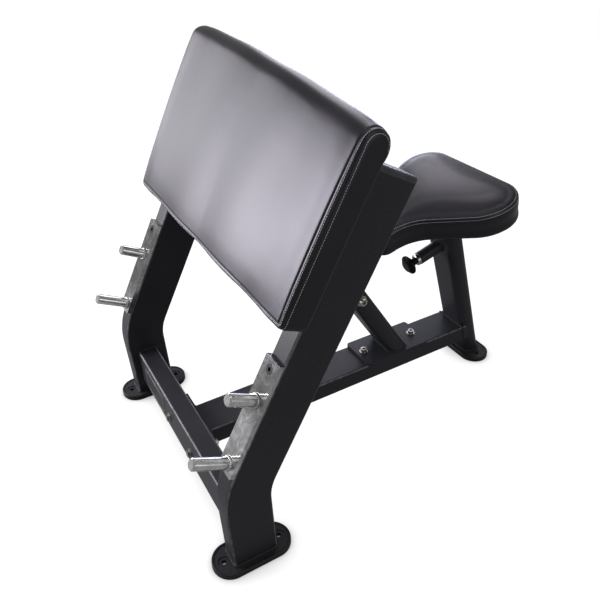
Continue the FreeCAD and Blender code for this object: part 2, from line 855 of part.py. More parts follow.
fasteners(
    "brace_base_bolts",
    lambda: socket_bolt(s.bolt_diameter, bolt_washer + s.brace_plate_thickness + s.beam_thread),
    at_brace_plate_bolts(brace_foot_z + bolt_washer),
)
fasteners("brace_base_washers", lambda: washer(s.bolt_diameter), at_brace_plate_bolts(brace_foot_z))
fasteners(
    "brace_base_nuts",
    lambda: nut(s.bolt_diameter),
    at_brace_plate_bolts(beam_top - s.tube_wall, FACING_DOWN),
)


# Seat post, its guide bush and the spring pin

post_foot = (beam_top - foot_top) / cosine(s.post_angle)
post_slack = s.oval_depth * tangent(s.post_angle)
pin_hole = s.pin_diameter + 2 * s.slide_clearance
post_front = s.oval_depth / 2
pin_height = s.post_length - s.pin_drop

seat_post = oval_tube("seat_post", post_frame, 0, s.oval_wall, -post_foot - post_slack, s.post_length)
trim(seat_post, 0, -post_foot, -s.post_angle, s.oval_depth, -2 * post_slack)
post_face = sketch_on(seat_post, "XZ_Plane", post_front)
circle(post_face, pin_hole, 0, pin_height)
pocket(seat_post, post_face, s.oval_wall + s.pin_reach)

bush_outer = s.oval_wall + s.plug_clearance
bush_inner = bush_outer + s.bush_wall
bush = oval_tube(
    "post_guide_bush", post_frame, bush_outer, s.bush_wall, s.post_length - s.bush_depth, s.post_length
)
bush_lip = sketch_on(bush, "XY_Plane", s.post_length)
tube_section(bush_lip, s.oval_width, s.oval_depth, s.oval_corner, bush_inner)
pad(bush, bush_lip, s.bush_lip)


def pin_frame(distance):
    """The pin's axis, out of the post's front face, from a distance before that face."""
    return post_frame * moved(0, -post_front - distance, pin_height, X_AXIS, FACING_FRONT)


barrel_end = s.barrel_length
ring_end = barrel_end + s.ring_length
pin_radius = s.pin_diameter / 2
pin_bore = pin_radius + s.pin_clearance
bore_radius = s.barrel_bore / 2

turned(
    "pin_barrel",
    pin_frame(0),
    bevelled_corners(bore_radius, s.barrel_diameter / 2, 0, barrel_end, s.barrel_bevel),
)
ring_radius = s.ring_diameter / 2
spigot_radius = bore_radius - s.plug_clearance
turned(
    "pin_nose_ring",
    pin_frame(0),
    [
        (pin_bore, barrel_end - s.ring_spigot),
        (spigot_radius, barrel_end - s.ring_spigot),
        (spigot_radius, barrel_end),
        (ring_radius, barrel_end),
        (ring_radius, ring_end - s.ring_bevel),
        (ring_radius - s.ring_bevel, ring_end),
        (pin_bore, ring_end),
    ],
)

# The tip stands in a hole of the seat tube, and the collar rests against the post
seat_tube_front = post_front - bush_inner - s.slide_clearance
seat_tube_inside = seat_tube_front - s.seat_tube_wall
pin_tip = seat_tube_inside - post_front - s.pin_reach
collar_low = s.slide_clearance
collar_high = collar_low + s.collar_length
collar_radius = bore_radius - s.slide_clearance
neck_low = ring_end + s.slide_clearance
neck_high = neck_low + s.neck_length
pin_end = neck_high + s.pin_grip
tip_bevel = s.barrel_bevel

turned(
    "pull_pin",
    pin_frame(0),
    [
        (0, pin_tip),
        (pin_radius - tip_bevel, pin_tip),
        (pin_radius, pin_tip + tip_bevel),
        (pin_radius, collar_low),
        (collar_radius, collar_low),
        (collar_radius, collar_high),
        (pin_radius, collar_high),
        (pin_radius, pin_end),
        (0, pin_end),
    ],
)

neck_radius = s.neck_diameter / 2
knob_radius = s.knob_diameter / 2
knob_high = neck_high + s.knob_length
knob = turned(
    "pin_knob",
    pin_frame(0),
    [
        (pin_bore, neck_low),
        (neck_radius, neck_low),
        (neck_radius, neck_low + s.neck_straight),
        (knob_radius, neck_high),
        (knob_radius, neck_high + s.knob_rim),
        (s.knob_face / 2, knob_high),
        (0, knob_high),
        (0, pin_end + s.slide_clearance),
        (pin_bore, pin_end + s.slide_clearance),
    ],
)
knob_turning = knob.Tip


def knob_rim(box):
    """Only the two rims of the knob reach its full radius."""
    return math.isclose(box.XMax, float(knob_radius)) and math.isclose(box.ZMin, box.ZMax)


round_edges(knob, knob_turning, edges_where(knob_turning, knob_rim), s.knob_round)

# The return spring lies round the pin from its collar to the nose ring, as a sleeve of the coil's size
spring_outer = (pin_radius + bore_radius + s.spring_wire) / 2
spring_low = collar_high + s.slide_clearance
spring_high = barrel_end - s.ring_spigot - s.slide_clearance
turned(
    "pin_spring",
    pin_frame(0),
    bevelled_corners(spring_outer - s.spring_wire, spring_outer, spring_low, spring_high, s.spring_wire / 2),
)


# Seat tube with its row of holes, plug, plate and bolts

seat_level = s.post_length + s.seat_clear
seat_plate_low = seat_level - s.seat_plate_thickness
seat_tube_foot = seat_plate_low - s.seat_tube_length
seat_tube_inset = bush_inner + s.slide_clearance

seat_tube = oval_tube(
    "seat_tube", post_frame, seat_tube_inset, s.seat_tube_wall, seat_tube_foot, seat_plate_low
)
detent_face = sketch_on(seat_tube, "XZ_Plane", post_front)
circle(detent_face, s.pin_diameter + 2 * s.bolt_clearance, 0, pin_height)
detent = pocket(seat_tube, detent_face, post_front)
detents = seat_tube.newObject("PartDesign::LinearPattern", "Detents")
detents.Originals = [detent]
detents.Direction = (detent_face, ["V_Axis"])
detents.Reversed = True
detents.Occurrences = DETENT_COUNT
bind(detents, "Length", s.detent_pitch * (DETENT_COUNT - 1))
seat_tube.Tip = detents

plug_inset = seat_tube_inset + s.seat_tube_wall + s.plug_clearance
plug = new_body("seat_tube_plug", post_frame * moved(0, 0, seat_tube_foot))
plug_lip = sketch_on(plug, "XY_Plane")
rounded_rectangle(
    plug_lip,
    s.oval_width - 2 * seat_tube_inset,
    s.oval_depth - 2 * seat_tube_inset,
    s.oval_corner - seat_tube_inset,
)
pad(plug, plug_lip, s.seat_tube_wall, downward=True)
plug_core = sketch_on(plug, "XY_Plane")
rounded_rectangle(
    plug_core, s.oval_width - 2 * plug_inset, s.oval_depth - 2 * plug_inset, s.oval_corner - plug_inset
)
pad(plug, plug_core, s.plug_length)

seat_bolt_places = [
    (sign_x * s.seat_bolt_across / 2, sign_y * s.seat_bolt_along / 2)
    for sign_x in SIDES.values()
    for sign_y in SIDES.values()
]
seat_plate = plate(
    "seat_plate",
    post_frame * moved(0, 0, seat_plate_low),
    s.seat_plate_width,
    s.seat_plate_length,
    s.seat_plate_thickness,
    s.seat_plate_corner,
)
drill(seat_plate, "XY_Plane", seat_bolt_hole, seat_bolt_places)
fasteners(
    "seat_bolts",
    lambda: hex_bolt(s.seat_bolt_diameter, s.seat_plate_thickness + s.board_thread),
    [post_frame * moved(x, y, seat_plate_low, X_AXIS, FACING_DOWN) for x, y in seat_bolt_places],
)


# Seat board and cushion. Their outline runs from a narrow nose through a double curve to a wide rear

def arc_about(centre_x, centre_y, radius, start, end, z):
    """An arc by its centre, radius and end angles in degrees."""
    angles = [math.radians(angle) for angle in (start, (start + end) / 2, end)]
    points = [vector(centre_x + radius * math.cos(a), centre_y + radius * math.sin(a), z) for a in angles]
    return Part.Arc(*points)


def mirrored_arc(centre_x, centre_y, radius, start, end, z):
    """The same arc on the other side of the middle plane, run the other way."""
    return arc_about(-centre_x, centre_y, radius, HALF_TURN - end, HALF_TURN - start, z)


def seat_outline(z, inset):
    """The seat's outline at a height, drawn in all round by an inset."""
    inset = float(inset)
    flare_run = float(s.flare_start) + float(s.flare_end)
    widening = float(s.seat_half_width) - float(s.nose_half_width)
    sweep_angle = float(s.flare_angle)
    sweep = math.radians(sweep_angle)
    excess = flare_run * math.tan(sweep) - widening
    flare_radius = excess * math.cos(sweep) / (1 - math.cos(sweep)) / 2
    nose_x = float(s.nose_half_width - s.nose_corner)
    nose_y = float(s.nose_corner - s.nose_reach)
    rear_x = float(s.seat_half_width - s.seat_rear_corner)
    rear_y = float(s.seat_rear - s.seat_rear_corner)
    hollow_x = float(s.nose_half_width) + flare_radius
    swell_x = float(s.seat_half_width) - flare_radius
    right_arcs = [
        (nose_x, nose_y, float(s.nose_corner) - inset, -90, 0, z),
        (hollow_x, -float(s.flare_start), flare_radius + inset, HALF_TURN, HALF_TURN - sweep_angle, z),
        (swell_x, float(s.flare_end), flare_radius - inset, -sweep_angle, 0, z),
        (rear_x, rear_y, float(s.seat_rear_corner) - inset, 0, 90, z),
    ]
    arcs = [arc_about(*arc) for arc in right_arcs] + [mirrored_arc(*arc) for arc in reversed(right_arcs)]
    edges = []
    for arc, following in zip(arcs, arcs[1:] + arcs[:1]):
        edges.append(arc.toShape())
        start = arc.EndPoint
        end = following.StartPoint
        if not start.isEqual(end, float(s.pin_clearance)):
            edges.append(Part.LineSegment(start, end).toShape())
    return Part.Wire(edges)


def soft_piece(label, placement, shape):
    feature = doc.addObject("Part::Feature", label)
    feature.Label = label
    feature.Shape = shape
    feature.Placement = placement
    pieces.append(feature)


board_wire = seat_outline(0, s.seat_edge_round / 2 + s.seat_board_inset)
board_wire_gap = seat_outline(0, s.seat_edge_round / 2 + s.seat_board_inset - s.slide_clearance)
seat_board_shape = Part.Face(board_wire).extrude(vector(0, 0, s.seat_board_thickness))
board_room = Part.Face(board_wire_gap).extrude(vector(0, 0, s.seat_board_thickness + s.slide_clearance))
for x, y in seat_bolt_places:
    bolt_room = Part.makeCylinder(float(seat_bolt_hole) / 2, float(s.seat_board_thickness), vector(x, y, 0))
    seat_board_shape = seat_board_shape.cut(bolt_room)

seat_wires = [
    seat_outline(float(s.seat_height) * rise, s.seat_edge_round * taken) for rise, taken in SEAT_LEVEL_SHARES
]
seat_shape = Part.makeLoft(seat_wires, True, False).cut(board_room)
seat_frame = post_frame * moved(0, 0, seat_level)
soft_piece("seat_board", seat_frame, seat_board_shape)
soft_piece("seat_cushion", seat_frame * moved(0, 0, s.slide_clearance), seat_shape)


# Arm pad: cushion with a rolled top edge, board behind it, and bolts through the uprights

def pad_section(x, inset, draw, droop):
    """The pad's outline across the slope at x, drawn in by an inset, its foot pulled up and its roll down."""
    inset = float(inset)
    back = float(s.slide_clearance)
    face = float(s.pad_thickness) - inset
    foot_edge = float(s.pad_bottom) + inset + draw
    corner = float(s.pad_corner)
    crown = float(s.pad_crown) * (1 - PAD_CROWN_LOSS_SHARE * inset / float(s.pad_edge_round))
    roll = float(s.roll_radius) - inset
    roll_z = float(s.roll_height) - droop
    roll_front = float(s.pad_thickness - s.roll_radius)
    slant = math.sqrt(0.5)

    def point(proud, along):
        return FreeCAD.Vector(x, -proud, along)

    corner_proud = face - corner
    corner_along = foot_edge + corner
    back_foot = point(back, foot_edge + float(s.pad_back_rise))
    face_foot = point(face, corner_along)
    face_top = point(face, roll_z)
    crest = point(roll_front, roll_z + roll)
    roll_back = point(roll_front - roll, roll_z)
    back_top = point(back, float(s.roll_height - s.roll_drop))
    under = point(corner_proud, foot_edge)
    foot_turn = point(corner_proud + corner * slant, corner_along - corner * slant)
    return Part.Wire(
        [
            Part.LineSegment(back_foot, under).toShape(),
            Part.Arc(under, foot_turn, face_foot).toShape(),
            Part.Arc(face_foot, point(face + crown, (corner_along + roll_z) / 2), face_top).toShape(),
            Part.Arc(face_top, point(roll_front + roll * slant, roll_z + roll * slant), crest).toShape(),
            Part.Arc(crest, point(roll_front - roll * slant, roll_z + roll * slant), roll_back).toShape(),
            Part.LineSegment(roll_back, back_top).toShape(),
            Part.LineSegment(back_top, back_foot).toShape(),
        ]
    )


pad_width = s.frame_width + 2 * s.pad_overhang
half_pad = float(pad_width) / 2
mirrored_shares = tuple((-share, taken, droop) for share, taken, droop in PAD_STATION_SHARES[-2::-1])
pad_wires = []
for share, taken, droop in PAD_STATION_SHARES + mirrored_shares:
    draw = float(s.pad_draw) * (1 - share * share)
    drooped = float(s.roll_droop) * droop
    pad_wires.append(pad_section(share * half_pad, s.pad_edge_round * taken, draw, drooped))

board_width = pad_width - 2 * s.pad_board_inset
board_length = s.pad_board_top - s.pad_bottom - s.pad_board_inset
board_low = s.pad_bottom + s.pad_board_inset
pad_room = Part.makeBox(
    float(board_width + 2 * s.slide_clearance),
    float(s.pad_board_thickness + s.slide_clearance),
    float(board_length + 2 * s.slide_clearance),
    vector(
        -board_width / 2 - s.slide_clearance,
        -s.pad_board_thickness - s.slide_clearance,
        board_low - s.slide_clearance,
    ),
)
soft_piece("arm_pad_cushion", slope_frame, Part.makeLoft(pad_wires, True, False).cut(pad_room))

pad_board = plate(
    "arm_pad_board",
    slope_frame * moved(0, 0, board_low + board_length / 2, X_AXIS, FACING_FRONT),
    board_width,
    board_length,
    s.pad_board_thickness,
    s.pad_corner,
)
board_middle = board_low + board_length / 2
pad_bolt_places = [
    (sign * upright_x, along) for sign in SIDES.values() for along in (s.pad_bolt_low, s.pad_bolt_high)
]
drill(pad_board, "XY_Plane", bolt_hole, [(x, along - board_middle) for x, along in pad_bolt_places])


def at_pad_bolts(y):
    return [slope_frame * moved(x, y, along, X_AXIS, FACING_REAR) for x, along in pad_bolt_places]


fasteners(
    "arm_pad_bolts",
    lambda: hex_bolt(s.bolt_diameter, bolt_washer + s.tube_depth + s.board_thread),
    at_pad_bolts(s.tube_depth + bolt_washer),
)
fasteners("arm_pad_washers", lambda: washer(s.bolt_diameter), at_pad_bolts(s.tube_depth))


# Bar rests: on the front of each upright a plate with two pegs and a countersunk screw

peg_plate_middle = s.peg_plate_bottom + s.peg_plate_length / 2
spigot_hole = s.peg_spigot + 2 * s.thread_clearance
screw_head = s.bolt_diameter * 2
screw_head_depth = (screw_head - s.bolt_diameter) / 2
head_room = 2 * s.plug_clearance


def peg(name, x, height, length):
    radius = s.peg_diameter / 2
    spigot = s.peg_spigot / 2
    foot_z = -s.peg_plate_thickness
    turned(
        name,
        slope_frame * moved(x, -s.peg_plate_thickness, height, X_AXIS, FACING_FRONT),
        [
            (0, foot_z),
            (spigot, foot_z),
            (spigot, 0),
            (radius, 0),
            (radius, length - s.peg_chamfer),
            (radius - s.peg_chamfer, length),
            (0, length),
        ],
    )


def countersunk_screw():
    head = doc.addObject("Part::Cone", "Screw_Head")
    bind(head, "Radius1", s.bolt_diameter / 2)
    bind(head, "Radius2", screw_head / 2)
    bind(head, "Height", screw_head_depth)
    bind(head, "Placement.Base.z", -screw_head_depth)
    depth = s.bolt_diameter * SOCKET_DEPTH_SHARE
    socket = hexagon(s.bolt_diameter * SOCKET_WIDTH_SHARE, depth + s.cut_overrun, -depth)
    return cut(joined(head, cylinder(s.bolt_diameter, s.screw_length, -s.screw_length)), socket)


def bar_rest(side, x):
    body = plate(
        f"{side}_peg_plate",
        slope_frame * moved(x, 0, peg_plate_middle, X_AXIS, FACING_FRONT),
        s.tube_width,
        s.peg_plate_length,
        s.peg_plate_thickness,
        s.peg_plate_corner,
    )
    heights = (s.lower_peg_height, s.upper_peg_height)
    drill(body, "XY_Plane", spigot_hole, [(0, height - peg_plate_middle) for height in heights])
    screw_y = s.peg_screw_height - peg_plate_middle
    drill(body, "XY_Plane", bolt_hole, [(0, screw_y)])
    sink = sketch_on(body, "XY_Plane", s.peg_plate_thickness)
    circle(sink, screw_head + head_room, 0, screw_y)
    countersink = pocket(body, sink, screw_head_depth + head_room / 2)
    countersink.TaperAngle = -45
    peg(f"{side}_lower_peg", x, s.lower_peg_height, s.lower_peg_length)
    peg(f"{side}_upper_peg", x, s.upper_peg_height, s.upper_peg_length)


for side, sign in SIDES.items():
    bar_rest(side, sign * upright_x)
fasteners(
    "peg_plate_screws",
    countersunk_screw,
    [
        slope_frame
        * moved(sign * upright_x, -s.peg_plate_thickness, s.peg_screw_height, X_AXIS, FACING_FRONT)
        for sign in SIDES.values()
    ],
)


# Check and write

doc.recompute()
for item in doc.Objects:
    if {"Invalid", "Error"} & set(item.State):
        raise RuntimeError(f"{item.Label} failed: {item.State}")
os.makedirs("parts", exist_ok=True)
for piece in pieces:
    if piece.Shape.isNull() or not piece.Shape.isValid():
        raise RuntimeError(f"{piece.Label} has no valid shape")
for piece in pieces:
    piece.Shape.exportStep(f"parts/{piece.Label}.step")
print(len(pieces), "pieces written")
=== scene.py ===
import json
import math

import bmesh
import bpy
import numpy
from mathutils import Matrix, Vector
from mathutils.bvhtree import BVHTree
from mathutils.kdtree import KDTree


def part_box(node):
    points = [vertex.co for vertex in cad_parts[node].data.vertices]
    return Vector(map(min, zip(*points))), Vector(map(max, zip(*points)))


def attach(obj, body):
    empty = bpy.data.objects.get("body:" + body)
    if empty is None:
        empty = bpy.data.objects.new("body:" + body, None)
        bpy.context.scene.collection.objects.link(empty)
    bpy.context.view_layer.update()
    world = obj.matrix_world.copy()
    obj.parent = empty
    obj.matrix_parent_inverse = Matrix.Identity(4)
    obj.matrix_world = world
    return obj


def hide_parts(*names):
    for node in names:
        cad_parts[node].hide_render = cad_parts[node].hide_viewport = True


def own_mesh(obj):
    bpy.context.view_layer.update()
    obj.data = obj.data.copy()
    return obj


# Preacher curl bench, in metres: finishes for its rigid pieces, leather skins, welds, a spring and a bare plate

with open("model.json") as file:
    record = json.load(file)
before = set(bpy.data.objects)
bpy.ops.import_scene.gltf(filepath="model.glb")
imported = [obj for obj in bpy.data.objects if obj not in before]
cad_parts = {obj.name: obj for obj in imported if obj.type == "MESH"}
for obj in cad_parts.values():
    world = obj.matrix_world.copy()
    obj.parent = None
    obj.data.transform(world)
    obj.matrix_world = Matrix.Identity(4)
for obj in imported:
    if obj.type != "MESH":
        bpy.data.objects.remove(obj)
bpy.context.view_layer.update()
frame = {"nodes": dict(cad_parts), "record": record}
nodes = frame["nodes"]
scene = bpy.context.scene
bpy.ops.object.select_all(action="DESELECT")

MM = 0.001
X_WAY = Vector((1, 0, 0))
Y_WAY = Vector((0, 1, 0))
Z_WAY = Vector((0, 0, 1))

# The slope of the uprights starts at their knee, and the seat post at its foot on the beam
SLOPE_LEAN = math.radians(27.65)
POST_LEAN = math.radians(17.3)
KNEE = Vector((0, -462.27 * MM, 225 * MM))
POST_FOOT = Vector((0, 435.83 * MM, 118 * MM))
slope = Matrix.Translation(KNEE) @ Matrix.Rotation(-SLOPE_LEAN, 4, "X")
post = Matrix.Translation(POST_FOOT) @ Matrix.Rotation(POST_LEAN, 4, "X")
behind_way = slope.to_3x3() @ Y_WAY
post_way = post.to_3x3() @ Z_WAY
post_back_way = post.to_3x3() @ Y_WAY


# Camera, where the photograph was taken from

CAMERA_PLACE = Vector((1.0840, -0.7096, 1.1985))
CAMERA_HEADING = math.radians(29.431)
CAMERA_PITCH = math.radians(33.868)
CAMERA_ROLL = math.radians(-1.133)
CAMERA_LENS = 37.69
CAMERA_SENSOR = 36


def set_camera():
    lens = bpy.data.cameras.new("camera")
    lens.lens = CAMERA_LENS
    lens.sensor_width = CAMERA_SENSOR
    camera = bpy.data.objects.new("camera", lens)
    scene.collection.objects.link(camera)
    level = math.cos(CAMERA_PITCH)
    along_x = -math.cos(CAMERA_HEADING) * level
    along_y = math.sin(CAMERA_HEADING) * level
    ahead = Vector((along_x, along_y, -math.sin(CAMERA_PITCH)))
    right = ahead.cross(Z_WAY).normalized()
    up = right.cross(ahead)
    rolled_right = right * math.cos(CAMERA_ROLL) + up * math.sin(CAMERA_ROLL)
    rolled_up = up * math.cos(CAMERA_ROLL) - right * math.sin(CAMERA_ROLL)
    turn = Matrix((rolled_right, rolled_up, -ahead)).transposed()
    camera.matrix_world = Matrix.Translation(CAMERA_PLACE) @ turn.to_4x4()
    scene.camera = camera


# Studio: a white floor and backdrop, and soft boxes

FLOOR_SIZE = 24
FLOOR_GLOW = 0.97
FLOOR_GLOSS = 0.25
FLOOR_COLOUR = (0.13, 0.13, 0.13, 1)
PAINTED_SHADOW_REACH = 0.06
FILL_STRENGTH = 0.30
WALL_GLOSS = 0.40
WHITE = (1, 1, 1, 1)
COOL_WHITE = (0.96, 0.94, 1.0)
WINDOW_BLUE = (0.64, 0.71, 1.0)

# Each soft box: place, the point it faces, width, height, brightness and colour
SOFT_BOXES = {
    "left_box": ((-2.15, -0.95, 1.08), (0, -0.27, 0.75), 1.00, 1.16, 4.1, COOL_WHITE),
    "middle_box": ((-1.865, -1.528, 1.08), (0, -0.27, 0.75), 0.315, 1.16, 7.2, COOL_WHITE),
    "front_box": ((-1.385, -2.043, 1.06), (0, -0.27, 0.75), 1.12, 1.14, 23.5, COOL_WHITE),
    "side_box": ((2.60, 0.30, 1.20), (0, 0, 0.5), 2.0, 2.0, 1.6, COOL_WHITE),
    "rear_box": ((-1.68, 1.15, 1.49), (0.3, -0.14, 0.92), 0.8, 1.24, 2.3, COOL_WHITE),
    "ceiling_box": ((-1.30, 1.04, 2.32), (0, 0.35, 0.56), 1.0, 1.3, 2.8, COOL_WHITE),
    "window_box": ((-2.05, 1.62, 0.70), (-0.1, 0.42, 0.55), 1.2, 0.7, 5.5, WINDOW_BLUE),
    "top_box": ((0.30, -0.30, 2.80), (0, 0, 0.4), 1.8, 1.8, 1.2, COOL_WHITE),
}


def seen_level(tree, seen, gloss, other):
    """The brightness of the white room for camera and transmission rays, for glossy rays, and for the rest."""
    paths = tree.nodes.new("ShaderNodeLightPath")
    level = None
    for name, brightness in (("Is Glossy Ray", gloss), ("Is Transmission Ray", seen), ("Is Camera Ray", seen)):
        chosen = tree.nodes.new("ShaderNodeMix")
        chosen.inputs["A"].default_value = other
        chosen.inputs["B"].default_value = brightness
        tree.links.new(paths.outputs[name], chosen.inputs["Factor"])
        if level is not None:
            tree.links.new(level, chosen.inputs["A"])
        level = chosen.outputs["Result"]
    return level


def studio_floor():
    bpy.ops.mesh.primitive_plane_add(size=FLOOR_SIZE)
    floor = bpy.context.object
    floor.name = "studio_floor"
    finish = bpy.data.materials.new("studio_white")
    finish.use_nodes = True
    tree = finish.node_tree
    tree.nodes.remove(tree.nodes["Principled BSDF"])
    paint = tree.nodes.new("ShaderNodeBsdfDiffuse")
    paint.inputs["Color"].default_value = FLOOR_COLOUR
    # Painted shadow: ambient occlusion darkens the floor's glow under and beside the bench, where its shadow falls.
    painted_contact_shadow = tree.nodes.new("ShaderNodeAmbientOcclusion")
    painted_contact_shadow.inputs["Distance"].default_value = PAINTED_SHADOW_REACH
    glow = tree.nodes.new("ShaderNodeEmission")
    tree.links.new(painted_contact_shadow.outputs["Color"], glow.inputs["Color"])
    tree.links.new(seen_level(tree, FLOOR_GLOW, FLOOR_GLOSS, 0), glow.inputs["Strength"])
    both = tree.nodes.new("ShaderNodeAddShader")
    tree.links.new(paint.outputs[0], both.inputs[0])
    tree.links.new(glow.outputs[0], both.inputs[1])
    tree.links.new(both.outputs[0], tree.nodes["Material Output"].inputs["Surface"])
    floor.data.materials.append(finish)


def studio_world():
    world = bpy.data.worlds.new("studio")
    scene.world = world
    world.use_nodes = True
    tree = world.node_tree
    sky = tree.nodes["Background"]
    sky.inputs["Color"].default_value = WHITE
    tree.links.new(seen_level(tree, 1, WALL_GLOSS, FILL_STRENGTH), sky.inputs["Strength"])


def soft_box(name, place, target, width, height, brightness, colour):
    lamp = bpy.data.lights.new(name, "AREA")
    lamp.shape = "RECTANGLE"
    lamp.size = width
    lamp.size_y = height
    lamp.energy = brightness * math.pi * width * height
    lamp.color = colour
    box = bpy.data.objects.new(name, lamp)
    scene.collection.objects.link(box)
    aim = Vector(target) - Vector(place)
    box.matrix_world = Matrix.Translation(place) @ aim.to_track_quat("-Z", "Y").to_matrix().to_4x4()


# Finishes

class Finish:
    """A node material: its shader and the textures that feed it, placed by the piece's own coordinates."""

    def __init__(self, name, **constants):
        self.material = bpy.data.materials.new(name)
        self.material.use_nodes = True
        self.tree = self.material.node_tree
        self.shader = self.tree.nodes["Principled BSDF"]
        self.places = self.tree.nodes.new("ShaderNodeTexCoord").outputs["Object"]
        for socket, value in constants.items():
            self.shader.inputs[socket.replace("_", " ")].default_value = value

    def node(self, kind, vector=None, **values):
        made = self.tree.nodes.new(kind)
        if vector is not None:
            self.tree.links.new(vector, made.inputs["Vector"])
        for socket, value in values.items():
            made.inputs[socket].default_value = value
        return made

    def stretched(self, x, y, z):
        return self.node("ShaderNodeMapping", self.places, Scale=(x, y, z)).outputs[0]

    def noise(self, scale, detail=2.0, places=None, distortion=0.0):
        source = self.places if places is None else places
        return self.node(
            "ShaderNodeTexNoise", source, Scale=scale, Detail=detail, Distortion=distortion
        ).outputs[0]

    def cells(self, scale, feature="F1"):
        made = self.node("ShaderNodeTexVoronoi", self.places, Scale=scale)
        made.feature = feature
        return made.outputs["Distance"]

    def ramp(self, source, *stops):
        """Colours by the value of a source. Each stop is a place from 0 to 1 and a colour or a grey."""
        made = self.tree.nodes.new("ShaderNodeValToRGB")
        elements = made.color_ramp.elements
        while len(elements) < len(stops):
            elements.new(1)
        for element, (place, colour) in zip(elements, stops):
            element.position = place
            element.color = (*colour, 1) if isinstance(colour, tuple) else (colour, colour, colour, 1)
        self.tree.links.new(source, made.inputs[0])
        return made.outputs[0]

    def computed(self, operation, first, second):
        """The result of an operation on two sources, of which either may be a plain number."""
        made = self.tree.nodes.new("ShaderNodeMath")
        made.operation = operation
        for socket, value in zip(made.inputs, (first, second)):
            if isinstance(value, float):
                socket.default_value = value
            else:
                self.tree.links.new(value, socket)
        return made.outputs[0]

    def corners(self, across):
        """1 on the rounded corners of a tube whose flats face along the axes, 0 on the flats. across is true
        for a tube that runs along X."""
        normal = self.tree.nodes.new("ShaderNodeTexCoord").outputs["Normal"]
        split = self.tree.nodes.new("ShaderNodeSeparateXYZ")
        self.tree.links.new(normal, split.inputs[0])
        x, y, z = [self.computed("MULTIPLY", part, part) for part in split.outputs]
        pair = (y, z) if across else (x, self.computed("SUBTRACT", 1.0, x))
        return self.ramp(self.computed("MULTIPLY", *pair), (0.07, 0.0), (0.20, 1.0))

    def mixed(self, share, first, second, blend="MIX"):
        made = self.tree.nodes.new("ShaderNodeMix")
        made.data_type = "RGBA"
        made.blend_type = blend
        if isinstance(share, float):
            made.inputs["Factor"].default_value = share
        else:
            self.tree.links.new(share, made.inputs["Factor"])
        self.tree.links.new(first, made.inputs["A"])
        self.tree.links.new(second, made.inputs["B"])
        return made.outputs["Result"]

    def feed(self, socket, source):
        self.tree.links.new(source, self.shader.inputs[socket])

    def relief(self, *heights):
        """Bumps laid over each other. Each is a height source, a strength and a depth in metres."""
        normal = None
        for source, strength, depth in heights:
            made = self.tree.nodes.new("ShaderNodeBump")
            made.inputs["Strength"].default_value = strength
            made.inputs["Distance"].default_value = depth
            self.tree.links.new(source, made.inputs["Height"])
            if normal is not None:
                self.tree.links.new(normal, made.inputs["Normal"])
            normal = made.outputs[0]
        self.feed("Normal", normal)


def powder_coat(name, painted_corner_highlights=False, across=False):
    finish = Finish(name, Specular_IOR_Level=0.17)
    speckle = finish.noise(900, 1)
    patches = finish.noise(9, 3)
    grain = finish.ramp(speckle, (0.38, (0.0130, 0.0137, 0.0165)), (0.66, (0.0270, 0.0278, 0.0325)))
    cloud = finish.ramp(patches, (0.3, 0.80), (0.7, 1.0))
    colour = finish.mixed(1.0, grain, cloud, "MULTIPLY")
    # Painted highlight: the rounded corners get a lighter colour that stands in for the light lines that reflections
    # draw along the edges.
    if painted_corner_highlights:
        corner_highlight_colour = finish.ramp(finish.noise(60, 3), (0.35, (0.055, 0.056, 0.061)), (0.65, (0.140, 0.142, 0.150)))
        colour = finish.mixed(finish.corners(across), colour, corner_highlight_colour)
    finish.feed("Base Color", colour)
    finish.feed("Roughness", finish.ramp(patches, (0.3, 0.40), (0.7, 0.48)))
    finish.relief((finish.noise(420, 2), 0.10, 0.4 * MM), (speckle, 0.08, 0.2 * MM))
    return finish.material


def zinc_plating():
    finish = Finish("mottled_zinc", Metallic=1.0)
    clouds = finish.noise(30, 4, distortion=2.2)
    blotches = finish.noise(16, 3, distortion=0.8)
    brushed = finish.noise(160, 2, finish.stretched(1, 0.12, 0.12))
    tone = finish.ramp(clouds, (0.28, (0.32, 0.32, 0.32)), (0.52, (0.48, 0.48, 0.485)), (0.72, (0.72, 0.72, 0.73)))
    stain = finish.ramp(blotches, (0.35, (0.78, 0.77, 0.75)), (0.60, (1.0, 1.0, 1.0)))
    finish.feed("Base Color", finish.mixed(1.0, tone, stain, "MULTIPLY"))
    finish.feed("Roughness", finish.ramp(brushed, (0.3, 0.12), (0.7, 0.09)))
    finish.relief((blotches, 0.008, 0.4 * MM), (brushed, 0.006, 0.1 * MM))
    return finish.material


def bright_bar():
    finish = Finish("bright_zinc_bar", Metallic=1.0)
    clouds = finish.noise(60, 5, distortion=0.8)
    brushed = finish.noise(260, 2, finish.stretched(1, 0.05, 0.05))
    finish.feed("Base Color", finish.ramp(clouds, (0.3, (0.46, 0.465, 0.45)), (0.7, (0.64, 0.645, 0.63))))
    finish.feed("Roughness", finish.ramp(brushed, (0.3, 0.15), (0.7, 0.20)))
    finish.relief((clouds, 0.01, 0.2 * MM), (brushed, 0.02, 0.1 * MM))
    return finish.material


def bolt_zinc():
    finish = Finish("bolt_zinc", Metallic=1.0)
    clouds = finish.noise(220, 4)
    finish.feed("Base Color", finish.ramp(clouds, (0.3, (0.22, 0.20, 0.18)), (0.7, (0.42, 0.395, 0.365))))
    finish.feed("Roughness", finish.ramp(clouds, (0.3, 0.40), (0.7, 0.28)))
    finish.relief((clouds, 0.08, 0.2 * MM))
    return finish.material


def dark_screw():
    finish = Finish("oiled_screw_steel", Metallic=1.0)
    clouds = finish.noise(260, 3)
    finish.feed("Base Color", finish.ramp(clouds, (0.3, (0.10, 0.10, 0.105)), (0.7, (0.18, 0.18, 0.185))))
    finish.feed("Roughness", finish.ramp(clouds, (0.3, 0.15), (0.7, 0.11)))
    finish.relief((clouds, 0.01, 0.1 * MM))
    return finish.material


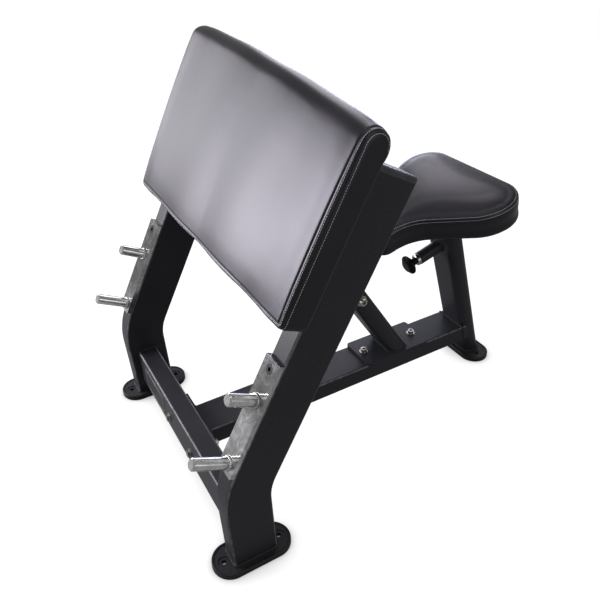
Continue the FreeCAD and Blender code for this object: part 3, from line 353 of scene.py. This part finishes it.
def chrome():
    finish = Finish("polished_chrome", Metallic=1.0)
    haze = finish.noise(130, 3)
    finish.feed("Base Color", finish.ramp(haze, (0.3, (0.27, 0.27, 0.27)), (0.7, (0.38, 0.38, 0.39))))
    finish.feed("Roughness", finish.ramp(haze, (0.3, 0.20), (0.7, 0.30)))
    return finish.material


def cap_plastic():
    finish = Finish("satin_cap_plastic", Specular_IOR_Level=0.60, Specular_Tint=(0.88, 0.89, 1.0, 1))
    grain = finish.noise(900, 2)
    haze = finish.noise(40, 2)
    finish.feed("Base Color", finish.ramp(haze, (0.3, (0.020, 0.020, 0.023)), (0.7, (0.034, 0.034, 0.039))))
    finish.feed("Roughness", finish.ramp(haze, (0.3, 0.16), (0.7, 0.24)))
    finish.relief((grain, 0.04, 0.1 * MM))
    return finish.material


def moulded_plastic():
    finish = Finish("moulded_black_plastic", Specular_IOR_Level=0.06)
    grain = finish.noise(700, 2)
    patches = finish.noise(30, 2)
    finish.feed("Base Color", finish.ramp(patches, (0.3, (0.004, 0.004, 0.0045)), (0.7, (0.008, 0.008, 0.0088))))
    finish.feed("Roughness", finish.ramp(patches, (0.3, 0.14), (0.7, 0.22)))
    finish.relief((grain, 0.05, 0.15 * MM))
    return finish.material


def boot_rubber():
    finish = Finish("boot_rubber", Specular_IOR_Level=0.18)
    grain = finish.noise(500, 3)
    dust = finish.noise(26, 4)
    finish.feed("Base Color", finish.ramp(dust, (0.35, (0.007, 0.007, 0.0073)), (0.75, (0.015, 0.015, 0.015))))
    finish.feed("Roughness", finish.ramp(dust, (0.3, 0.30), (0.7, 0.44)))
    finish.relief((grain, 0.10, 0.25 * MM))
    return finish.material


def leather():
    finish = Finish("black_leather", Specular_IOR_Level=0.26, Specular_Tint=(0.91, 0.875, 1.0, 1))
    pores = finish.cells(620, "SMOOTH_F1")
    creases = finish.noise(150, 4)
    patches = finish.noise(7, 3)
    finish.feed("Base Color", finish.ramp(patches, (0.3, (0.0072, 0.0067, 0.0080)), (0.7, (0.0112, 0.0105, 0.0122))))
    finish.feed("Roughness", finish.ramp(patches, (0.3, 0.32), (0.7, 0.37)))
    finish.relief((pores, 0.15, 0.30 * MM), (creases, 0.07, 0.3 * MM))
    return finish.material


def thread():
    finish = Finish("grey_thread", Specular_IOR_Level=0.3, Roughness=0.55)
    twist = finish.noise(1400, 1)
    finish.feed("Base Color", finish.ramp(twist, (0.3, (0.42, 0.42, 0.42)), (0.7, (0.62, 0.62, 0.61))))
    finish.relief((twist, 0.2, 0.2 * MM))
    return finish.material


def plywood():
    finish = Finish("black_stained_plywood", Specular_IOR_Level=0.2)
    grain = finish.noise(18, 6, finish.stretched(0.5, 9, 9), distortion=0.4)
    finish.feed("Base Color", finish.ramp(grain, (0.3, (0.013, 0.012, 0.012)), (0.7, (0.034, 0.031, 0.029))))
    finish.feed("Roughness", finish.ramp(grain, (0.3, 0.75), (0.7, 0.62)))
    finish.relief((grain, 0.15, 0.3 * MM))
    return finish.material


def plate_foil():
    finish = Finish("bare_foil", Specular_IOR_Level=0.12)
    haze = finish.noise(40, 3)
    finish.feed("Base Color", finish.ramp(haze, (0.3, (0.016, 0.016, 0.017)), (0.7, (0.026, 0.026, 0.028))))
    finish.feed("Roughness", finish.ramp(haze, (0.3, 0.42), (0.7, 0.52)))
    finish.relief((finish.noise(300, 2), 0.04, 0.1 * MM))
    return finish.material


# Shaping tools

DOUBLES = 0.005 * MM
SHARP_ANGLE = math.radians(30)


def activate(piece):
    bpy.ops.object.select_all(action="DESELECT")
    piece.select_set(True)
    bpy.context.view_layer.objects.active = piece


def apply_modifier(piece, kind, **settings):
    activate(piece)
    modifier = piece.modifiers.new(kind.lower(), kind)
    for name, value in settings.items():
        setattr(modifier, name, value)
    bpy.ops.object.modifier_apply(modifier=modifier.name)


def dress(piece, finish, body):
    piece.data.materials.clear()
    piece.data.materials.append(finish)
    activate(piece)
    bpy.ops.object.shade_smooth()
    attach(piece, body)


def merged_copy(node, name):
    """A copy of a CAD solid with its loose triangles joined."""
    shape = bmesh.new()
    shape.from_mesh(nodes[node].data)
    bmesh.ops.remove_doubles(shape, verts=shape.verts, dist=DOUBLES)
    mesh = bpy.data.meshes.new(name)
    shape.to_mesh(mesh)
    shape.free()
    piece = bpy.data.objects.new(name, mesh)
    scene.collection.objects.link(piece)
    return piece


def points_of(piece):
    points = numpy.empty(len(piece.data.vertices) * 3)
    piece.data.vertices.foreach_get("co", points)
    return points.reshape(-1, 3)


def set_points(piece, points):
    piece.data.vertices.foreach_set("co", points.ravel())
    piece.data.update()


def normals_of(piece):
    normals = numpy.empty(len(piece.data.vertices) * 3, numpy.float32)
    piece.data.vertex_normals.foreach_get("vector", normals)
    return normals.reshape(-1, 3).astype(float)


def extent(node, frame_matrix, axis):
    """The least and the most that a CAD node reaches along one axis of a frame."""
    inverse = frame_matrix.inverted()
    places = [(inverse @ vertex.co)[axis] for vertex in nodes[node].data.vertices]
    return min(places), max(places)


def spaced(points, step, closed):
    """Points at even steps along a line."""
    line = [Vector(point) for point in points]
    if closed:
        line.append(line[0])
    lengths = [0.0]
    for start, end in zip(line, line[1:]):
        lengths.append(lengths[-1] + (end - start).length)
    count = max(2, round(lengths[-1] / step))
    places = []
    run = 0
    for index in range(count if closed else count + 1):
        distance = lengths[-1] * index / count
        while run < len(lengths) - 2 and lengths[run + 1] < distance:
            run += 1
        share = (distance - lengths[run]) / max(lengths[run + 1] - lengths[run], DOUBLES)
        places.append(line[run].lerp(line[run + 1], share))
    return places


def outline(piece, point, normal):
    """The longest loop in which a plane cuts a piece, as points in order."""
    shape = bmesh.new()
    shape.from_mesh(piece.data)
    bmesh.ops.remove_doubles(shape, verts=shape.verts, dist=DOUBLES)
    everything = shape.verts[:] + shape.edges[:] + shape.faces[:]
    cut = bmesh.ops.bisect_plane(shape, geom=everything, plane_co=point, plane_no=normal)
    beside = {}
    for edge in cut["geom_cut"]:
        if isinstance(edge, bmesh.types.BMEdge):
            first, second = edge.verts
            beside.setdefault(first, []).append(second)
            beside.setdefault(second, []).append(first)
    loops = []
    while beside:
        vertex = next(iter(beside))
        loop = []
        while vertex is not None:
            loop.append(vertex.co.copy())
            following = beside.pop(vertex)
            vertex = next((other for other in following if other in beside), None)
        loops.append(loop)
    shape.free()
    return max(loops, key=lambda loop: sum((a - b).length for a, b in zip(loop, loop[1:])))


def line_tree(points):
    tree = KDTree(len(points))
    for index, point in enumerate(points):
        tree.insert(point, index)
    tree.balance()
    return tree


def surface_of(piece):
    shape = bmesh.new()
    shape.from_mesh(piece.data)
    tree = BVHTree.FromBMesh(shape)
    shape.free()
    return tree


# Stuffed leather

SWELL_FRAMES = 20
SWELL_PRESSURE = 6.0
START_ROUNDS = 2
EVEN_ROUNDS = 30
SMOOTH_SHARE = 0.5
REMESH_SMOOTHS = 3
SHAPED_SMOOTHS = 2
LINE_STEP = 1 * MM


def evened(piece, values, rounds):
    """Values at a skin's points, each drawn towards its neighbours' in turn."""
    edges = numpy.empty(len(piece.data.edges) * 2, numpy.int32)
    piece.data.edges.foreach_get("vertices", edges)
    first, second = edges.reshape(-1, 2).T
    size = len(values)
    counts = numpy.bincount(edges, minlength=size)
    for _ in range(rounds):
        sums = numpy.bincount(first, values[second], size) + numpy.bincount(second, values[first], size)
        values = (values + sums / numpy.maximum(counts, 1)) / 2
    return values


def stuffed(node, name, square, voxel, shrink, swell, held, shaped):
    """The leather skin of a cushion: its solid squared up to a frame, remeshed, shaped, drawn in and then swollen
    by cloth under pressure, where held doesn't say of a point in that frame that a seam or a board holds it."""
    piece = merged_copy(node, name)
    piece.data.transform(square.inverted())
    solid = surface_of(piece)
    apply_modifier(piece, "REMESH", mode="VOXEL", voxel_size=voxel)
    apply_modifier(piece, "SMOOTH", factor=SMOOTH_SHARE, iterations=REMESH_SMOOTHS)
    set_points(piece, numpy.array([solid.find_nearest(point)[0] for point in points_of(piece)]))
    set_points(piece, shaped(points_of(piece)))
    apply_modifier(piece, "SMOOTH", factor=SMOOTH_SHARE, iterations=SHAPED_SMOOTHS)
    rest = points_of(piece)
    free = numpy.array([not held(*point) for point in rest])
    group = piece.vertex_groups.new(name="held")
    group.add([int(index) for index in numpy.flatnonzero(~free)], 1.0, "REPLACE")
    outward = normals_of(piece)
    start = rest - outward * evened(piece, shrink * free, START_ROUNDS)[:, None]
    set_points(piece, start)
    activate(piece)
    cloth = piece.modifiers.new("stuffing", "CLOTH")
    cloth.settings.use_pressure = True
    cloth.settings.uniform_pressure_force = SWELL_PRESSURE
    cloth.settings.vertex_group_mass = group.name
    cloth.settings.effector_weights.gravity = 0
    cloth.point_cache.frame_start = 1
    cloth.point_cache.frame_end = SWELL_FRAMES
    for moment in range(1, SWELL_FRAMES + 1):
        scene.frame_set(moment)
    bpy.ops.object.modifier_apply(modifier=cloth.name)
    scene.frame_set(1)
    rise = numpy.clip(numpy.einsum("ij,ij->i", points_of(piece) - start, outward), 0, swell)
    set_points(piece, start + outward * evened(piece, rise, EVEN_ROUNDS)[:, None])
    piece.data.transform(square)
    apply_modifier(piece, "SUBSURF", levels=1, render_levels=1)
    return piece


def refine(piece, line, reach):
    """Divides the faces near a line once more."""
    tree = line_tree(line)
    shape = bmesh.new()
    shape.from_mesh(piece.data)
    near = {vertex for vertex in shape.verts if tree.find(vertex.co)[2] < reach}
    edges = [edge for edge in shape.edges if edge.verts[0] in near and edge.verts[1] in near]
    bmesh.ops.subdivide_edges(shape, edges=edges, cuts=1, use_grid_fill=True)
    shape.to_mesh(piece.data)
    shape.free()


def press(piece, line, depth, width):
    """Draws the skin in along a line, deepest on the line itself."""
    tree = line_tree(line)
    points = points_of(piece)
    normals = normals_of(piece)
    distances = numpy.array([tree.find(point)[2] for point in points])
    points -= normals * (depth * numpy.exp(-((distances / width) ** 2)))[:, None]
    set_points(piece, points)


def laid_on(surface, points):
    """A line dropped onto a skin."""
    return [surface.find_nearest(point)[0] for point in points]


STITCH_PITCH = 4.6 * MM
STITCH_LENGTH = 3.7 * MM
STITCH_WIDTH = 1.1 * MM
STITCH_SINK = 0.1 * MM
STITCH_SEGMENTS = 8
STITCH_RINGS = 6


def stitch_template():
    """One stitch: a short thread along Z that tapers to both ends."""
    bpy.ops.mesh.primitive_uv_sphere_add(segments=STITCH_SEGMENTS, ring_count=STITCH_RINGS, radius=0.5)
    stitch = bpy.context.object
    stitch.name = "stitch"
    bpy.ops.object.mode_set(mode="EDIT")
    bpy.ops.mesh.select_all(action="SELECT")
    bpy.ops.transform.resize(value=(STITCH_WIDTH, STITCH_WIDTH, STITCH_LENGTH))
    bpy.ops.object.mode_set(mode="OBJECT")
    return stitch


def sewn(name, rows, surface, finish, body):
    """Rows of stitches lying on a skin. Each row is a line and whether it closes."""
    stitch = stitch_template()
    shape = bmesh.new()
    for line, closed in rows:
        knots = spaced(line, STITCH_PITCH, closed)
        for before, after in zip(knots, knots[1:] + (knots[:1] if closed else [])):
            place, normal, _, _ = surface.find_nearest((before + after) / 2)
            along = (after - before).normalized()
            side = along.cross(normal).normalized()
            turn = Matrix((side, normal, side.cross(normal))).transposed().to_4x4()
            spot = Matrix.Translation(place - normal * STITCH_SINK) @ turn
            count = len(shape.verts)
            shape.from_mesh(stitch.data)
            shape.verts.ensure_lookup_table()
            bmesh.ops.transform(shape, matrix=spot, verts=shape.verts[count:])
    bmesh.ops.recalc_face_normals(shape, faces=shape.faces)
    mesh = bpy.data.meshes.new(name)
    shape.to_mesh(mesh)
    shape.free()
    bpy.data.objects.remove(stitch)
    piece = bpy.data.objects.new(name, mesh)
    scene.collection.objects.link(piece)
    dress(piece, finish, body)


# Arm pad: a thick slab with a rolled top edge, its face sewn to the side band by a double row

PAD_VOXEL = 6 * MM
PAD_SHRINK = 1.0 * MM
PAD_SWELL = 2.6 * MM
PAD_HALF = 355.75 * MM
PAD_FOOT = 377 * MM
PAD_FACE = 60 * MM
PAD_BACK = 12 * MM
ROLL_RADIUS = 32.5 * MM
ROLL_ALONG = 734.5 * MM
ROLL_SETTLE = 2 * MM
ROLL_TILT = 0.058
ROLL_BOW = 0.06
PAD_TURN = 14 * MM
HEM_WIDTH = 9 * MM
ROLL_SEGMENTS = 24
CORNER_SEGMENTS = 8
PAD_REFINE = 18 * MM

# Lines on the pad: distance from its edge, and depth below its face
PAD_SEAM = (2.2 * MM, 3.0 * MM)
PAD_UPPER_ROW = (6.0 * MM, 0)
PAD_LOWER_ROW = (0, 10.0 * MM)
PAD_DIP = (11.0 * MM, 0)

# Depth and width of the grooves that those lines press
PAD_DIP_PRESS = (1.6 * MM, 2.4 * MM)
PAD_SEAM_PRESS = (1.0 * MM, 1.6 * MM)
PAD_ROW_PRESS = (0.6 * MM, 1.6 * MM)


def settled(x, along):
    """A place along the pad once its roll has settled: lower at the right end, higher at the left, and unmoved
    at the foot."""
    share = min(1, max(0, (along - PAD_FOOT) / (ROLL_ALONG - PAD_FOOT)))
    return along - share * (ROLL_SETTLE + ROLL_TILT * x + ROLL_BOW * x**2)


def pad_line(edge, drop):
    """A line round the pad's face: over the roll at one end, down the side, along the foot and up again.
    edge is its distance from the ends and the foot, drop its depth below the face."""
    x = PAD_HALF - edge
    proud = PAD_FACE - drop
    radius = ROLL_RADIUS - drop
    roll_proud = PAD_FACE - ROLL_RADIUS
    turn = PAD_TURN - edge
    low = PAD_FOOT + edge
    half = []
    for index in range(ROLL_SEGMENTS + 1):
        angle = math.pi * (1 - index / ROLL_SEGMENTS)
        half.append((x, roll_proud + radius * math.cos(angle), ROLL_ALONG + radius * math.sin(angle)))
    for index in range(CORNER_SEGMENTS + 1):
        angle = math.pi / 2 * index / CORNER_SEGMENTS
        half.append((x - turn + turn * math.cos(angle), proud, low + turn - turn * math.sin(angle)))
    whole = half + [(-x, proud, along) for x, proud, along in reversed(half)]
    places = [slope @ Vector((x, -proud, settled(x, along))) for x, proud, along in whole]
    return spaced(places, LINE_STEP, False)


def settle_pad(points):
    for point in points:
        point[2] = settled(point[0], point[2])
    return points


def arm_pad(skin, stitching):
    def held(x, y, z):
        return abs(x) > PAD_HALF - HEM_WIDTH or z < PAD_FOOT + HEM_WIDTH or -y < PAD_BACK

    pad = stuffed("arm_pad_cushion", "arm_pad", slope, PAD_VOXEL, PAD_SHRINK, PAD_SWELL, held, settle_pad)
    surface = surface_of(pad)
    seam = laid_on(surface, pad_line(*PAD_SEAM))
    upper_row = laid_on(surface, pad_line(*PAD_UPPER_ROW))
    lower_row = laid_on(surface, pad_line(*PAD_LOWER_ROW))
    dip = laid_on(surface, pad_line(*PAD_DIP))
    refine(pad, seam, PAD_REFINE)
    press(pad, dip, *PAD_DIP_PRESS)
    press(pad, seam, *PAD_SEAM_PRESS)
    press(pad, upper_row, *PAD_ROW_PRESS)
    press(pad, lower_row, *PAD_ROW_PRESS)
    dress(pad, skin, "frame")
    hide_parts("arm_pad_cushion")
    sewn("arm_pad_stitches", [(upper_row, False), (lower_row, False)], surface_of(pad), stitching, "frame")


# Seat: a nosed saddle shape whose top is sewn to its side band by a double row

SEAT_VOXEL = 5 * MM
SEAT_SHRINK = 2.0 * MM
SEAT_SWELL = 5.0 * MM
SEAT_UNDER = 385 * MM
SEAM_LEVEL = SEAT_UNDER + 63.4 * MM
ROW_GAP = 6.2 * MM
CROWN_RISE = 24 * MM
CROWN_REACH = 120 * MM
CROWN_POWER = 0.80
CROWN_BLEND = 70 * MM
BLEND_RINGS = (0.35, 0.7, 1.0)
BLEND_SPOKES = 10
RIM_WIDTH = 16 * MM
BAND_DEPTH = 40 * MM
SEAT_REFINE = 14 * MM

# Depth and width of the grooves along the seat's seam and rows
SEAT_SEAM_PRESS = (0.9 * MM, 1.6 * MM)
SEAT_UPPER_PRESS = (0.5 * MM, 1.5 * MM)
SEAT_LOWER_PRESS = (0.3 * MM, 1.5 * MM)


def seat_line(piece, level):
    loop = outline(piece, post @ Vector((0, 0, level)), post_way)
    return spaced(loop, LINE_STEP, True)


def seat(skin, stitching):
    rim_line = outline(nodes["seat_cushion"], post @ Vector((0, 0, SEAM_LEVEL)), post_way)
    rim = line_tree([post.inverted() @ point for point in spaced(rim_line, LINE_STEP, True)])

    def inside(x, y):
        return rim.find((x, y, SEAM_LEVEL))[2]

    def blended(x, y):
        """The distance inside the rim, averaged with that of points around, so that the crown has no ridge."""
        depth = inside(x, y)
        depths = [depth]
        for ring in BLEND_RINGS:
            for spoke in range(BLEND_SPOKES):
                angle = 2 * math.pi * spoke / BLEND_SPOKES
                radius = ring * min(depth, CROWN_BLEND)
                depths.append(inside(x + radius * math.cos(angle), y + radius * math.sin(angle)))
        return sum(depths) / len(depths)

    def held(x, y, z):
        return z < SEAM_LEVEL or inside(x, y) < RIM_WIDTH

    def domed(points):
        """The top domed up from the seam, and the side band filled out to the rim, less and less further down."""
        middle = points.mean(axis=0)
        for point in points:
            if point[2] > SEAM_LEVEL:
                share = min(1, blended(point[0], point[1]) / CROWN_REACH)
                point[2] = SEAM_LEVEL + CROWN_RISE * (1 - (1 - share) ** 2) ** CROWN_POWER
            elif point[2] > SEAM_LEVEL - BAND_DEPTH:
                nearest = numpy.array(rim.find((point[0], point[1], SEAM_LEVEL))[0])
                gap = nearest[:2] - point[:2]
                if gap @ (nearest[:2] - middle[:2]) > 0:
                    point[:2] += gap * (1 - ((SEAM_LEVEL - point[2]) / BAND_DEPTH) ** 2)
        return points

    saddle = stuffed("seat_cushion", "seat_saddle", post, SEAT_VOXEL, SEAT_SHRINK, SEAT_SWELL, held, domed)
    seam = seat_line(saddle, SEAM_LEVEL)
    upper_row = seat_line(saddle, SEAM_LEVEL + ROW_GAP / 2)
    lower_row = seat_line(saddle, SEAM_LEVEL - ROW_GAP / 2)
    refine(saddle, seam, SEAT_REFINE)
    press(saddle, seam, *SEAT_SEAM_PRESS)
    press(saddle, upper_row, *SEAT_UPPER_PRESS)
    press(saddle, lower_row, *SEAT_LOWER_PRESS)
    dress(saddle, skin, "seat")
    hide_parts("seat_cushion")
    sewn("seat_stitches", [(upper_row, True), (lower_row, True)], surface_of(saddle), stitching, "seat")


# Weld beads round the joints of the frame

BEAD_RADIUS = 3.0 * MM
BEAD_LIFT = 1.0 * MM
BEVEL_STEPS = 2
RIPPLE_PITCH = 4 * MM
RIPPLE_STEPS = 4
RIPPLE_SHARE = 0.16
PIN_BEAD_RADIUS = 2.2 * MM
PEG_BEAD_RADIUS = 3.2 * MM
PEG_BEAD_LIFT = 1.2 * MM


def round_bar(name, line, closed, radius, finish, body="frame", ripple=RIPPLE_SHARE):
    """A round bar along a line: rippled as a weld bead is, or with no ripple a plain wire."""
    path = bpy.data.curves.new(name, "CURVE")
    path.dimensions = "3D"
    path.bevel_depth = radius
    path.bevel_resolution = BEVEL_STEPS
    path.use_fill_caps = True
    spline = path.splines.new("POLY")
    places = spaced(line, RIPPLE_PITCH / RIPPLE_STEPS, closed)
    spline.points.add(len(places) - 1)
    for index, (place, knot) in enumerate(zip(places, spline.points)):
        knot.co = (*place, 1)
        knot.radius = 1 - ripple * (1 + math.cos(2 * math.pi * index / RIPPLE_STEPS))
    spline.use_cyclic_u = closed
    bar = bpy.data.objects.new(name, path)
    scene.collection.objects.link(bar)
    activate(bar)
    bpy.ops.object.convert(target="MESH")
    dress(bar, finish, body)
    return bar


def joint_bead(name, node, point, normal, finish, radius=BEAD_RADIUS, body="frame"):
    """A weld bead round a node where a plane cuts it."""
    round_bar(name, outline(nodes[node], point, normal), True, radius, finish, body)


def frame_welds(coat):
    lift = BEAD_LIFT
    for side in ("left", "right"):
        plate_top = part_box(f"{side}_foot_plate")[1].z
        joint_bead(f"{side}_foot_weld", f"{side}_upright", Vector((0, 0, plate_top + lift)), Z_WAY, coat)
    plate_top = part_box("rear_foot_plate")[1].z
    joint_bead("rear_foot_weld", "seat_post", Vector((0, 0, plate_top + lift)), Z_WAY, coat)
    for node in ("front_cross_tube", "upper_cross_tube"):
        low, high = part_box(node)
        for side, x in (("left", low.x + lift), ("right", high.x - lift)):
            joint_bead(f"{node}_{side}_weld", node, Vector((x, 0, 0)), X_WAY, coat)
    flange_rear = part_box("beam_flange")[1].y
    joint_bead("flange_weld", "base_beam", Vector((0, flange_rear + lift, 0)), Y_WAY, coat)
    plate_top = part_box("brace_base_plate")[1].z
    joint_bead("brace_foot_weld", "brace_tube", Vector((0, 0, plate_top + lift)), Z_WAY, coat)
    post_front = extent("seat_post", post, 1)[0] - lift
    front_point = post @ Vector((0, post_front, 0))
    joint_bead("post_weld", "base_beam", front_point, post_back_way, coat)
    joint_bead("pin_barrel_weld", "pin_barrel", front_point, post_back_way, coat, PIN_BEAD_RADIUS)
    tube_back = extent("upper_cross_tube", slope, 1)[1] + lift
    joint_bead("brace_stub_weld", "brace_stub", slope @ Vector((0, tube_back, 0)), behind_way, coat)
    plate_under = extent("seat_plate", post, 2)[0] - lift
    joint_bead("seat_tube_weld", "seat_tube", post @ Vector((0, 0, plate_under)), post_way, coat, body="seat")


def peg_welds(plating):
    for side in ("left", "right"):
        plate_front = extent(f"{side}_peg_plate", slope, 1)[0] - PEG_BEAD_LIFT
        for level in ("lower", "upper"):
            joint_bead(
                f"{side}_{level}_peg_weld",
                f"{side}_{level}_peg",
                slope @ Vector((0, plate_front, 0)),
                behind_way,
                plating,
                PEG_BEAD_RADIUS,
            )


# Return spring: the coil round the pull pin, inside the pin's barrel

SPRING_WIRE = 1.0 * MM
SPRING_TURNS = 8
SPRING_STEPS = 24


def return_spring(steel):
    """The coil at rest, fixed to the frame; in use it is pressed together against the nose ring as the pin is
    pulled.
    """
    outer = extent("pin_spring", post, 0)[1]
    ring_end, collar_end = extent("pin_spring", post, 1)
    level = sum(extent("pin_spring", post, 2)) / 2
    radius = outer - SPRING_WIRE
    count = SPRING_TURNS * SPRING_STEPS
    line = []
    for step in range(count + 1):
        angle = 2 * math.pi * step / SPRING_STEPS
        along = ring_end + SPRING_WIRE + (collar_end - ring_end - 2 * SPRING_WIRE) * step / count
        line.append(post @ Vector((radius * math.cos(angle), along, level + radius * math.sin(angle))))
    coil = round_bar("return_spring", line, False, SPRING_WIRE, steel, ripple=0)
    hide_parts("pin_spring")
    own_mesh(coil)


# Bare name plate on the front cross tube, with its raised rim

LABEL_LEFT = -237 * MM
LABEL_RIGHT = -104 * MM
LABEL_LOW = 65 * MM
LABEL_HIGH = 128 * MM
LABEL_THICKNESS = 1.2 * MM
LABEL_RIM = 2.4 * MM
LABEL_SINK = 0.5 * MM
LABEL_BEVEL = 0.3 * MM


def bare_label(foil, rim_finish):
    tube_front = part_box("front_cross_tube")[0].y
    bpy.ops.object.select_all(action="DESELECT")
    bpy.ops.mesh.primitive_cube_add(
        size=1,
        location=((LABEL_LEFT + LABEL_RIGHT) / 2, tube_front - LABEL_THICKNESS / 2, (LABEL_LOW + LABEL_HIGH) / 2),
        scale=(LABEL_RIGHT - LABEL_LEFT, LABEL_THICKNESS, LABEL_HIGH - LABEL_LOW),
    )
    rim = bpy.context.object
    rim.name = "bare_label_rim"
    bpy.ops.object.transform_apply(location=True, rotation=True, scale=True)
    bpy.ops.object.mode_set(mode="EDIT")
    bpy.ops.mesh.select_mode(type="FACE")
    bpy.ops.mesh.select_all(action="DESELECT")
    bpy.ops.object.mode_set(mode="OBJECT")
    for face in rim.data.polygons:
        face.select = face.normal.y < -0.5
    bpy.ops.object.mode_set(mode="EDIT")
    bpy.ops.mesh.inset(thickness=LABEL_RIM)
    bpy.ops.mesh.extrude_region_move(TRANSFORM_OT_translate={"value": (0, LABEL_SINK, 0)})
    bpy.ops.mesh.separate(type="SELECTED")
    bpy.ops.object.mode_set(mode="OBJECT")
    sheet = next(piece for piece in bpy.context.selected_objects if piece != rim)
    sheet.name = "bare_label"
    apply_modifier(rim, "BEVEL", width=LABEL_BEVEL, segments=2)
    apply_modifier(sheet, "SOLIDIFY", thickness=LABEL_THICKNESS - LABEL_SINK)
    dress(rim, rim_finish, "frame")
    dress(sheet, foil, "frame")
    for piece in (rim, sheet):
        activate(piece)
        bpy.ops.object.shade_smooth_by_angle(angle=SHARP_ANGLE)


def finish_nodes(finishes):
    """Gives each CAD node the finish of its own name, or else that of its material slot."""
    for part in frame["record"]["subparts"]:
        node = part["node"]
        for slot in nodes[node].material_slots:
            slot.material = finishes.get(node, finishes[part["material_slot"]])


set_camera()
studio_floor()
studio_world()
for box_name, box_values in SOFT_BOXES.items():
    soft_box(box_name, *box_values)
scene.view_settings.view_transform = "Standard"

coat_finish = powder_coat("charcoal_powder_coat")
# These two coats carry a painted highlight on their rounded corners.
long_tube_finish = powder_coat("charcoal_coat_long_tubes", painted_corner_highlights=True)
cross_tube_finish = powder_coat("charcoal_coat_cross_tubes", painted_corner_highlights=True, across=True)
zinc_finish = zinc_plating()
bar_finish = bright_bar()
bolt_finish = bolt_zinc()
cap_finish = cap_plastic()
leather_finish = leather()
thread_finish = thread()
finish_nodes(
    {
        "frame_coat": coat_finish,
        "left_upright": long_tube_finish,
        "right_upright": long_tube_finish,
        "base_beam": long_tube_finish,
        "front_cross_tube": cross_tube_finish,
        "zinc_plate": zinc_finish,
        "left_lower_peg": bar_finish,
        "left_upper_peg": bar_finish,
        "right_lower_peg": bar_finish,
        "right_upper_peg": bar_finish,
        "left_upright_cap": cap_finish,
        "right_upright_cap": cap_finish,
        "peg_plate_screws": dark_screw(),
        "bolt_steel": bolt_finish,
        "bright_chrome": chrome(),
        "black_plastic": moulded_plastic(),
        "boot_rubber": boot_rubber(),
        "black_leather": leather_finish,
        "plywood": plywood(),
    }
)
arm_pad(leather_finish, thread_finish)
seat(leather_finish, thread_finish)
frame_welds(coat_finish)
peg_welds(zinc_finish)
return_spring(bolt_finish)
bare_label(plate_foil(), bolt_finish)
